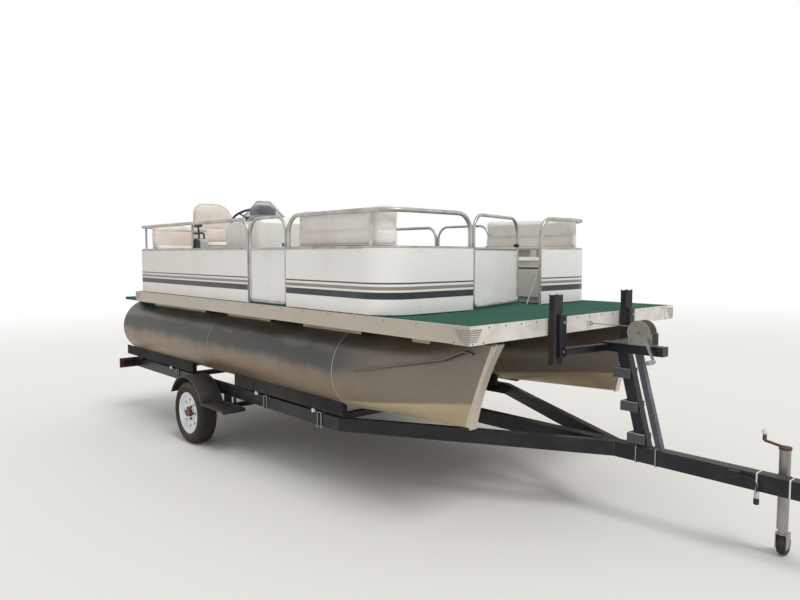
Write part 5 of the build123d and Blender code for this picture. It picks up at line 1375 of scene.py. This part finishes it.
disc = lathe([(0.0005, -0.0395), (0.026, -0.0395), (0.028, -0.0380), (0.028, 0.0380),
              (0.026, 0.0395), (0.0005, 0.0395)], pivot, (0.0, 1.0, 0.0), 32)
build("throttle_housing", join(turned(housing.start(), SIDEWAYS), disc), KNOB, BOAT,
      replaces=("throttle_control",))
button = softened(lever_top + (-0.050, -0.016, -0.006),
                  lever_top + (-0.034, -0.0142, 0.006), 0.0008)
build("throttle_lever", join(lever_form, grip, button), SLATE, BOAT, replaces=("throttle_control",))
fore_top = np.linspace(0, math.pi / 2, 9)
cover = [(box_x[1] - 0.032 + 0.0335 * math.cos(a), box_z[1] - 0.032 + 0.0335 * math.sin(a))
         for a in fore_top]
cover = [(box_x[1] + 0.0015, box_z[0] + 0.006)] + cover + [(THROTTLE_X + 0.024, box_z[1] + 0.0015)]
cover += [(x - 0.003, z - 0.003) for x, z in cover[::-1]]
cover = np.array(cover)
rings = [np.column_stack([cover[:, 0], np.full(len(cover), y), cover[:, 1]])
         for y in (box_y[0] + 0.001, box_y[1] - 0.001)]
build("throttle_cover", skin(np.stack(rings)), PLUG)

# %% [markdown]
# Small fixings come next. Each is made once at zero and copied: a dome for rivets and
# screws, and the wheel nut's form for every other nut and bolt head.

# %% Rivets, screws and welds on the hull
SEAMS = (1.59, SEAM_X)
CASTING_PROUD = 0.003


def dome(radius, tall, count=10):
    """A low rounded head that stands on the plane z = 0."""
    return lathe([(radius, -0.0004), (radius, tall * 0.35), (radius * 0.72, tall * 0.8),
                  (radius * 0.1, tall)], ORIGIN, UPWARD, count)


def heads(shape, places, direction):
    """Copies of a small shape, all standing the same way."""
    return copies(turned(shape, facing(direction)), places)


beads = []
for sign in (-1, 1):
    for x in SEAMS:
        angle = np.linspace(0, 2 * math.pi, 96, endpoint=False)
        ring = np.column_stack([np.full(96, x), sign * LOG_Y + LOG_RADIUS * np.cos(angle),
                                LOG_Z + LOG_RADIUS * np.sin(angle)])
        beads.append(tube(ring, 0.0030 if x == SEAMS[-1] else 0.0014, 8, looped=True))
build("log_weld_beads", join(*beads), TUBE)

across = np.arange(-1.05, 1.051, 0.15)
front = np.column_stack([np.full(len(across), DECK_LENGTH), across, np.full(len(across), -0.013)])
corners = [(DECK_LENGTH + CASTING_PROUD, sign * y, -0.096)
           for sign in (-1, 1) for y in (1.104, 1.196)]
rusty = [heads(dome(0.0055, 0.003), np.vstack([front, corners]), FORWARD)]
along = np.arange(0.25, 4.7, 0.30)
for sign in (-1, 1):
    places = [(x, sign * HALF_WIDTH, -0.013) for x in along]
    caps = [(x, sign * (HALF_WIDTH + CASTING_PROUD), -0.096) for x in (4.764, 4.856)]
    rusty.append(heads(dome(0.0045, 0.0025), places + caps, sideways(sign)))
build("skirt_screws", join(*rusty), RUST)

# %% [markdown]
# The castings at the four deck corners are ribbed. Thin dark strips in the grooves between
# the ribs are painted shade, darker than the skirt, and get shorter towards the bottom.

# %% Painted shade in the grooves of the corner castings
groove_shadows = []
for rib in range(6):
    z = -0.107 + 0.018 + rib * 0.088 / 7
    leg = 0.066 + rib * 0.008
    for x, along in ((0.0, 1), (DECK_LENGTH, -1)):
        for sign in (-1, 1):
            y = sign * (HALF_WIDTH + CASTING_PROUD)
            groove_shadows.append(softened((x - along * 0.002, y - sign * 0.001, z),
                                    (x + along * leg, y + sign * 0.0006, z + 0.0082), 0.0004, 4))
            groove_shadows.append(softened((x - along * 0.0036, y, z),
                                    (x - along * 0.002, y - sign * leg, z + 0.0082), 0.0004, 4))
build("corner_casting_groove_shadows", join(*groove_shadows), ZINC)

# %% [markdown]
# The carpet's cut edge is ragged along the bow: threads lie over the skirt's lip. Each
# thread is a thin bent blade, and a fixed seed keeps every run the same.

# %% Frayed threads
random = np.random.default_rng(7)


def threads(places, lean, long, count_each=1):
    """Blades of five points that start at the places and lean outwards."""
    places = np.repeat(np.asarray(places, float), count_each, axis=0)
    lean = np.asarray(lean, float)
    total = len(places)
    places = places + random.normal(0, 0.002, (total, 3)) * (1.0, 1.0, 0.2)
    way = lean + random.normal(0, 0.45, (total, 3))
    way /= np.linalg.norm(way, axis=1)[:, None]
    side = np.cross(way, random.normal(0, 1, (total, 3)))
    side /= np.linalg.norm(side, axis=1)[:, None]
    over_it = np.cross(way, side)
    tall = long * random.uniform(0.5, 1.3, (total, 1))
    foot = [places + side * 0.0011, places + over_it * 0.0007,
            places - side * 0.0011, places - over_it * 0.0007]
    tip = places + way * tall
    points = np.stack(foot + [tip], 1).reshape(-1, 3)
    base = np.arange(total)[:, None] * 5
    sides = np.stack([np.stack([base[:, 0] + k, base[:, 0] + (k + 1) % 4, base[:, 0] + 4], -1)
                      for k in range(4)], 1).reshape(-1, 3)
    floor_faces = base + np.array([[3, 2, 1, 0]])
    return points, [sides, floor_faces]


edge = np.linspace(-1.19, 1.19, 420)
bow_edge = np.column_stack([np.full(420, DECK_LENGTH - 0.016), edge, np.full(420, 0.0015)])
build("carpet_frays", threads(bow_edge, (0.9, 0.0, 0.35), 0.013), GREEN)
post_tops = []
for sign in (-1, 1):
    across_post = (sign * 0.437 - 0.044, sign * 0.437 + 0.044)
    rim_line = outline((4.886, 4.929), across_post, (0.008,) * 4, 8)
    post_tops.append(np.column_stack([rim_line, np.full(len(rim_line), 0.148)]))
build("stop_post_frays", threads(np.vstack(post_tops), UPWARD, 0.011, 3), CHARCOAL)

# %% [markdown]
# The fence's panels are riveted to its posts and wear a folded cap along their top edge.
# Every gate has a black latch, and a pin with a round head through each pair of knuckles.

# %% Panel caps, rivets, latches and pins
FENCE_Y, FENCE_BOW, FENCE_STERN = 1.190, 4.140, 0.128
SKIN = 0.0178
PANEL_TOP = 0.447
cap_section = [(-0.0028, -0.0060), (0.0028, -0.0060), (0.0036, 0.0), (0.0022, 0.0024),
               (-0.0022, 0.0024), (-0.0036, 0.0)]
caps = []
for sign, gate_start, gate_end, bow_y in ((-1, 2.426, 2.989, -0.372), (1, 2.270, 3.000, 0.450)):
    y = sign * (FENCE_Y + SKIN)
    bow_x, stern_x = FENCE_BOW + SKIN, FENCE_STERN - SKIN
    runs = [([(gate_end + 0.012, y), (bow_x, y), (bow_x, bow_y)], 0.220 + SKIN),
            ([(gate_start - 0.012, y), (stern_x, y), (stern_x, sign * 0.006)], 0.045 + SKIN)]
    for points, radius in runs:
        path = bend([(x, across_y, PANEL_TOP) for x, across_y in points], [radius], math.radians(6))
        caps.append(carry(cap_section, path))
build("panel_caps", join(*caps), TUBE)

RIVET_Z = (0.024, 0.426)
RIVET_OUT = SKIN + 0.0013
rivets = []
for sign, posts in ((-1, (0.245, 0.80, 1.36, 1.90, 2.402, 3.013, 3.45, 3.88)),
                    (1, (0.245, 0.75, 1.24, 1.75, 2.246, 3.024, 3.45, 3.88))):
    places = [(x, sign * (FENCE_Y + RIVET_OUT), z) for x in posts for z in RIVET_Z]
    rivets.append(heads(dome(0.0045, 0.0024, 8), places, sideways(sign)))
places = [(FENCE_BOW + RIVET_OUT, y, z) for y in (-0.90, -0.64, -0.385, 0.465, 0.68, 0.90)
          for z in RIVET_Z]
rivets.append(heads(dome(0.0045, 0.0024, 8), places, FORWARD))
build("panel_rivets", join(*rivets), TUBE)

HINGES = {"starboard": (2.422, -1.172), "port": (2.266, 1.172), "front": (4.122, -0.366)}
GATES = {"starboard": ((2.426, -FENCE_Y), 0.0, 0.563), "port": ((2.270, FENCE_Y), 0.0, 0.730),
         "front": ((FENCE_BOW, -0.362), 90.0, 0.802)}
AJAR = math.radians(14.0)
PIN = [(0.0005, -0.0035), (0.0040, -0.0030), (0.0046, -0.0006), (0.0028, -0.0004),
       (0.0028, 0.0529), (0.0046, 0.0531), (0.0040, 0.0556), (0.0005, 0.0562)]

for name, (corner, turn, width) in GATES.items():
    hinge = np.array(HINGES[name] + (0.0,))
    latch = join(softened((width - 0.043, -0.0185, 0.4655), (width - 0.017, 0.0185, 0.4905), 0.004),
                 softened((width - 0.036, 0.018, 0.472), (width - 0.024, 0.026, 0.484), 0.003, 8))
    latch = turned(latch, about_z(math.radians(turn)), corner + (0.0,))
    if name == "front":
        latch = turned(turned(latch, np.eye(3), -hinge), about_z(AJAR), hinge)
    build(f"{name}_gate_latch", latch, KNOB, f"{name}_gate")
    pins = [lathe(PIN, hinge + (0.0, 0.0, base), UPWARD, 12) for base in (0.150, 0.400)]
    build(f"{name}_gate_hinge_pins", join(*pins), ZINC)

# %% [markdown]
# The dash has three round gauges and a plate of rocker switches. The instrument pod sits
# on a cream foot. A white bar closes the port edge of the windscreen, a rubber strip seals
# its foot, and its other edges are polished.

# %% Dash, pod foot and windscreen edges
UP_SLOPE = np.array([math.cos(DASH_SLOPE), 0.0, math.sin(DASH_SLOPE)])
ACROSS = np.array([0.0, 1.0, 0.0])
dash_top = DASH_MIDDLE + COLUMN_WAY * 0.0005
bezels, faces_of_gauges = [], []
for y, up_by, radius in ((-0.115, 0.035, 0.040), (0.115, 0.035, 0.040), (0.205, 0.020, 0.028)):
    centre = dash_top + ACROSS * y + UP_SLOPE * up_by
    bezels.append(lathe([(radius, -0.004), (radius, 0.005), (radius - 0.003, 0.008),
                         (radius - 0.008, 0.008), (radius - 0.009, 0.0035), (0.0005, 0.003)],
                        centre, COLUMN_WAY, 36))
    faces_of_gauges.append(lathe([(radius - 0.0095, 0.0030), (radius - 0.0095, 0.0050),
                                  (0.0005, 0.0056)], centre, COLUMN_WAY, 36))
SLOPED = np.column_stack([ACROSS, UP_SLOPE * -1.0, COLUMN_WAY])
plate = [softened((0.075, 0.010, -0.002), (0.225, 0.060, 0.004), 0.002, 12)]
for x in 0.085 + 0.028 * np.arange(5):
    plate.append(softened((x, 0.020, 0.003), (x + 0.018, 0.050, 0.009), 0.002, 8))
plate.append(lathe([(0.011, 0.0), (0.011, 0.006), (0.007, 0.008), (0.0005, 0.008)],
                   (-0.20, 0.02, 0.0), UPWARD, 20))
build("gauge_bezels", join(*bezels, turned(join(*plate), SLOPED, dash_top)), KNOB)
build("gauge_faces", join(*faces_of_gauges), SLATE)
pod_foot = Pad((1.716, 1.884), (-0.794, -0.586), (0.728, 0.772), (0.02,) * 4,
               slack=0.001, soft=0.008)
build("pod_foot", pod_foot.start(), SHELL)

screen_foot, screen_head = np.array([2.030, -0.590, 0.742]), np.array([1.890, -0.665, 0.895])
other_head, wing_end = np.array([1.890, -0.800, 0.895]), np.array([1.730, -0.877, 0.722])
build("windscreen_bar", tube(np.linspace(screen_foot, screen_head, 6), 0.0115, 12), RIM)
edges_of_screen = join(tube(np.linspace(screen_head, other_head, 4), 0.0042, 8),
                       tube(np.linspace(other_head, wing_end, 6), 0.0042, 8))
build("windscreen_edges", edges_of_screen, PLUG)
crown = np.linspace(-0.877, -0.590, 12)
crown_z = 0.700 + 0.0455 * (1 - ((crown + 0.625) / 0.295) ** 2)
front_foot = np.column_stack([np.full(12, 2.030), crown, crown_z])
side_foot = np.column_stack([np.linspace(2.030, 1.730, 8), np.full(8, -0.878), np.full(8, 0.7095)])
build("windscreen_seal", join(tube(front_foot, 0.006, 8), tube(side_foot, 0.006, 8)), KNOB)

# %% [markdown]
# The console's two front corners are rounded, and a thin curved strip closes each from the
# deck to the dash.

# %% Console corner strips
strips = []
for corner_y, sign in ((-0.860, -1), (-0.390, 1)):
    rows = []
    for angle in np.radians(np.linspace(18, 72, 12)):
        ring = [(2.070 + r * math.cos(angle), corner_y + sign * r * math.sin(angle), z)
                for r, z in ((0.0604, 0.001), (0.0604, 0.604), (0.0565, 0.604), (0.0565, 0.001))]
        rows.append(ring)
    strips.append(skin(rows))
build("console_corner_strips", join(*strips), SHELL)

# %% [markdown]
# Two U-bolts hold the winch post's foot to the drawbar.

# %% Drawbar U-bolts
loops = []
for x in (5.262, 5.393):
    ring = []
    for quarter, (y, z) in enumerate(((1, 1), (-1, 1), (-1, -1), (1, -1))):
        for angle in np.radians(np.linspace(90 * quarter, 90 * quarter + 90, 6)):
            ring.append((x, y * 0.034 + 0.011 * math.cos(angle),
                         z * 0.044 - 0.870 + 0.011 * math.sin(angle)))
    loops.append(tube(ring, 0.0045, 10, looped=True))
build("drawbar_u_bolts", join(*loops), ZINC)

# %% [markdown]
# The trailer is bolted together. Nuts close each U-bolt, staples hold the bunks' carpet,
# white caps close the ends of the round tubes, and bolts pass through the bow stop's
# channels, the lamps, the coupling and the spring hangers.

# %% Trailer fixings
DOWNWARD, STERNWARD = (0.0, 0.0, -1.0), (-1.0, 0.0, 0.0)
COUPLING_BOLTS = ((6.585, -0.845), (6.625, -0.858))
LAMP_Y = 1.065
nuts = []
for sign in (-1, 1):
    for x in (0.581, 2.366, 3.165):
        places = [(x + offset, sign * 1.0253, -0.9285) for offset in (-0.024, 0.024)]
        nuts.append(heads(hex_nut(0.0095, 0.008), places, DOWNWARD))
    for x in (0.933, 1.633):
        nuts.append(heads(hex_nut(0.011, 0.009), [(x, sign * 1.0235, -1.010)], sideways(sign)))
    for z in (-0.205, -0.020):
        nuts.append(heads(hex_nut(0.011, 0.009), [(4.964, sign * 0.427, z)], FORWARD))
    lamp = [(-0.5425, sign * (LAMP_Y + y), -0.830) for y in (-0.120, 0.120)]
    nuts.append(heads(hex_nut(0.008, 0.007), lamp, FORWARD))
    coupling = [(x, sign * 0.0385, z) for x, z in COUPLING_BOLTS]
    nuts.append(heads(hex_nut(0.011, 0.009), coupling, sideways(sign)))
    transom = [(-0.464, sign * y, z) for y in (0.07, 0.20) for z in (-0.24, -0.44)]
    nuts.append(heads(hex_nut(0.012, 0.008), transom, STERNWARD))
nuts.append(heads(hex_nut(0.010, 0.008), [(6.052, 0.1025, -0.845), (6.112, 0.1025, -0.845)],
                  (0.0, 1.0, 0.0)))
build("trailer_nuts", join(*nuts), ZINC)

tube_caps = []
for sign in (-1, 1):
    for x in (0.476, 2.252, 3.115):
        tube_caps.append(lathe([(0.0175, -0.012), (0.0178, 0.0), (0.0165, 0.004), (0.010, 0.0065),
                                (0.0005, 0.0070)], (x, sign * 1.050, -0.804), sideways(sign), 24))
build("tube_end_caps", join(*tube_caps), RIM)

staples = []
staple = softened((-0.006, -0.0008, -0.001), (0.006, 0.0008, 0.001), 0.0005, 4)
for sign in (-1, 1):
    for start, end in ((-0.760, 1.010), (1.875, 3.495)):
        for offset in (-0.160, 0.160):
            for face in (-0.0225, 0.0225):
                x = np.arange(start + 0.05, end - 0.03, 0.11)
                y = sign * LOG_Y + offset + face
                staples.append(copies(staple, np.column_stack([x, np.full(len(x), y),
                                                               np.full(len(x), -0.776)])))
build("bunk_staples", join(*staples), ZINC)

lenses = []
for sign in (-1, 1):
    for start, end in ((-0.150, -0.004), (0.004, 0.090)):
        low = (-0.5640, sign * LAMP_Y + start, -0.908)
        lenses.append(softened(low, (-0.5545, sign * LAMP_Y + end, -0.852), 0.004, 12))
build("lamp_lenses", join(*lenses), LENS)

# %% [markdown]
# The winch: cable wound side by side on its drum, a toothed wheel against one plate, bolts
# through both plates and a ribbed grip on the handle. The three step blocks under it have
# ribs across their tops and down their faces.

# %% Winch and steps
DRUM_X, DRUM_Z = 5.260, -0.090
turns = 11
angle = np.linspace(0, 2 * math.pi * turns, turns * 20)
across = np.linspace(-0.0325, 0.0325, len(angle))
wound = np.column_stack([DRUM_X + 0.0335 * np.cos(angle), across, DRUM_Z + 0.0335 * np.sin(angle)])
hook_x, hook_z = (circle(0.013, 24) + (4.893, -0.060)).T
hook = np.column_stack([hook_x, np.zeros(24), hook_z])
build("wound_cable", join(tube(wound, 0.0030, 6), tube(hook, 0.0035, 8, looped=True)), CABLE)
TEETH = 40
angle = np.linspace(0, 2 * math.pi, TEETH * 4, endpoint=False)
tooth = np.where(np.arange(TEETH * 4) % 4 < 2, 0.062, 0.057)
gear = []
for radius, y in ((0.010, 0.0335), (tooth, 0.0335), (tooth, 0.0390), (0.010, 0.0390)):
    gear.append(np.column_stack([DRUM_X + radius * np.cos(angle), np.full(len(angle), y),
                                 DRUM_Z + radius * np.sin(angle)]))
winch = [skin(np.stack(gear))]
for sign in (-1, 1):
    places = [(DRUM_X + 0.055 * math.cos(a), sign * 0.0452, DRUM_Z + 0.055 * math.sin(a))
              for a in (0.6, 2.2, 3.9)] + [(DRUM_X, sign * 0.0452, DRUM_Z)]
    places += [(x, sign * 0.0452, -0.150) for x in (5.205, 5.335)]
    winch.append(heads(hex_nut(0.009, 0.007), places, sideways(sign)))
build("winch_gear_and_bolts", join(*winch), ZINC)
arm_end = np.array([5.382, -0.075, -0.258])
grip = [(0.0005, -0.002), (0.0130, -0.001)]
for z in 0.004 + 0.011 * np.arange(7):
    grip += [(0.0142, z), (0.0142, z + 0.006), (0.0128, z + 0.008)]
grip += [(0.0125, 0.081), (0.0005, 0.083)]
build("winch_grip", lathe(grip, arm_end, (0.0, -1.0, 0.0), 24), COVER)

step_ribs = []
slope = (5.300 - 5.148) / (0.820 - 0.230)
for z in (-0.360, -0.570, -0.770):
    aft = 5.148 + (-0.230 - z) * slope - 0.038 - 0.045
    for y in np.arange(-0.048, 0.049, 0.012):
        step_ribs.append(softened((aft - 0.0016, y - 0.003, z - 0.026),
                                  (aft + 0.002, y + 0.003, z + 0.028), 0.0015, 8))
        step_ribs.append(softened((aft, y - 0.003, z + 0.0285),
                                  (aft + 0.044, y + 0.003, z + 0.0322), 0.0015, 8))
build("step_block_ribs", join(*step_ribs), TREAD)

# %% [markdown]
# The jockey stand's crank has a white knob. The lead's plug has a ribbed collar and hangs
# from one of two white straps that go round the drawbar.

# %% Knob, straps and plug collar
knob_foot = np.array([6.082 - 0.110, 0.102, -0.6257])
knob = lathe([(0.0005, 0.0), (0.0110, 0.001), (0.0150, 0.008), (0.0165, 0.016), (0.0150, 0.024),
              (0.0105, 0.0305), (0.0005, 0.0330)], knob_foot, UPWARD, 24)
build("crank_knob", knob, RIM)


def ribbon(half_wide, half_thick, path, **options):
    """A flat strip along a path."""
    section = [(-half_wide, -half_thick), (half_wide, -half_thick),
               (half_wide, half_thick), (-half_wide, half_thick)]
    return carry(section, path, **options)


straps = []
for x in (5.986, 6.156):
    loop = outline((-0.0418, 0.0418), (-0.9222, -0.8182), (0.006,) * 4, 5)
    path = np.column_stack([np.full(len(loop), x), loop])
    straps.append(ribbon(0.004, 0.0012, path, looped=True))
tail = bend([(5.986, -0.043, -0.846), (5.990, -0.058, -0.870), (5.998, -0.070, -0.905)], [0.02])
straps.append(ribbon(0.003, 0.0010, tail, hint=(0.0, 1.0, 0.0)))
build("white_straps", join(*straps), RIM)
collar = [(0.0005, -0.0005), (0.0138, 0.0)]
for z in 0.003 + 0.006 * np.arange(5):
    collar += [(0.0152, z), (0.0152, z + 0.003), (0.0143, z + 0.0045)]
collar += [(0.0142, 0.036), (0.0005, 0.0365)]
build("plug_collar", lathe(collar, (5.998, -0.070, -0.985), UPWARD, 20), KNOB)
build("lead_clamp", softened((5.892, -0.060, -0.856), (5.908, -0.039, -0.836), 0.003), KNOB)

# %% [markdown]
# Six bolts hold the chair's round foot to the deck.

# %% Chair foot
angle = np.linspace(0, 2 * math.pi, 6, endpoint=False) + 0.3
bolt_places = CHAIR_PLACE + np.column_stack([0.105 * np.cos(angle), 0.105 * np.sin(angle),
                                             np.full(6, 0.0078)])
build("chair_foot_bolts", heads(dome(0.008, 0.005, 12), bolt_places, UPWARD), ZINC)
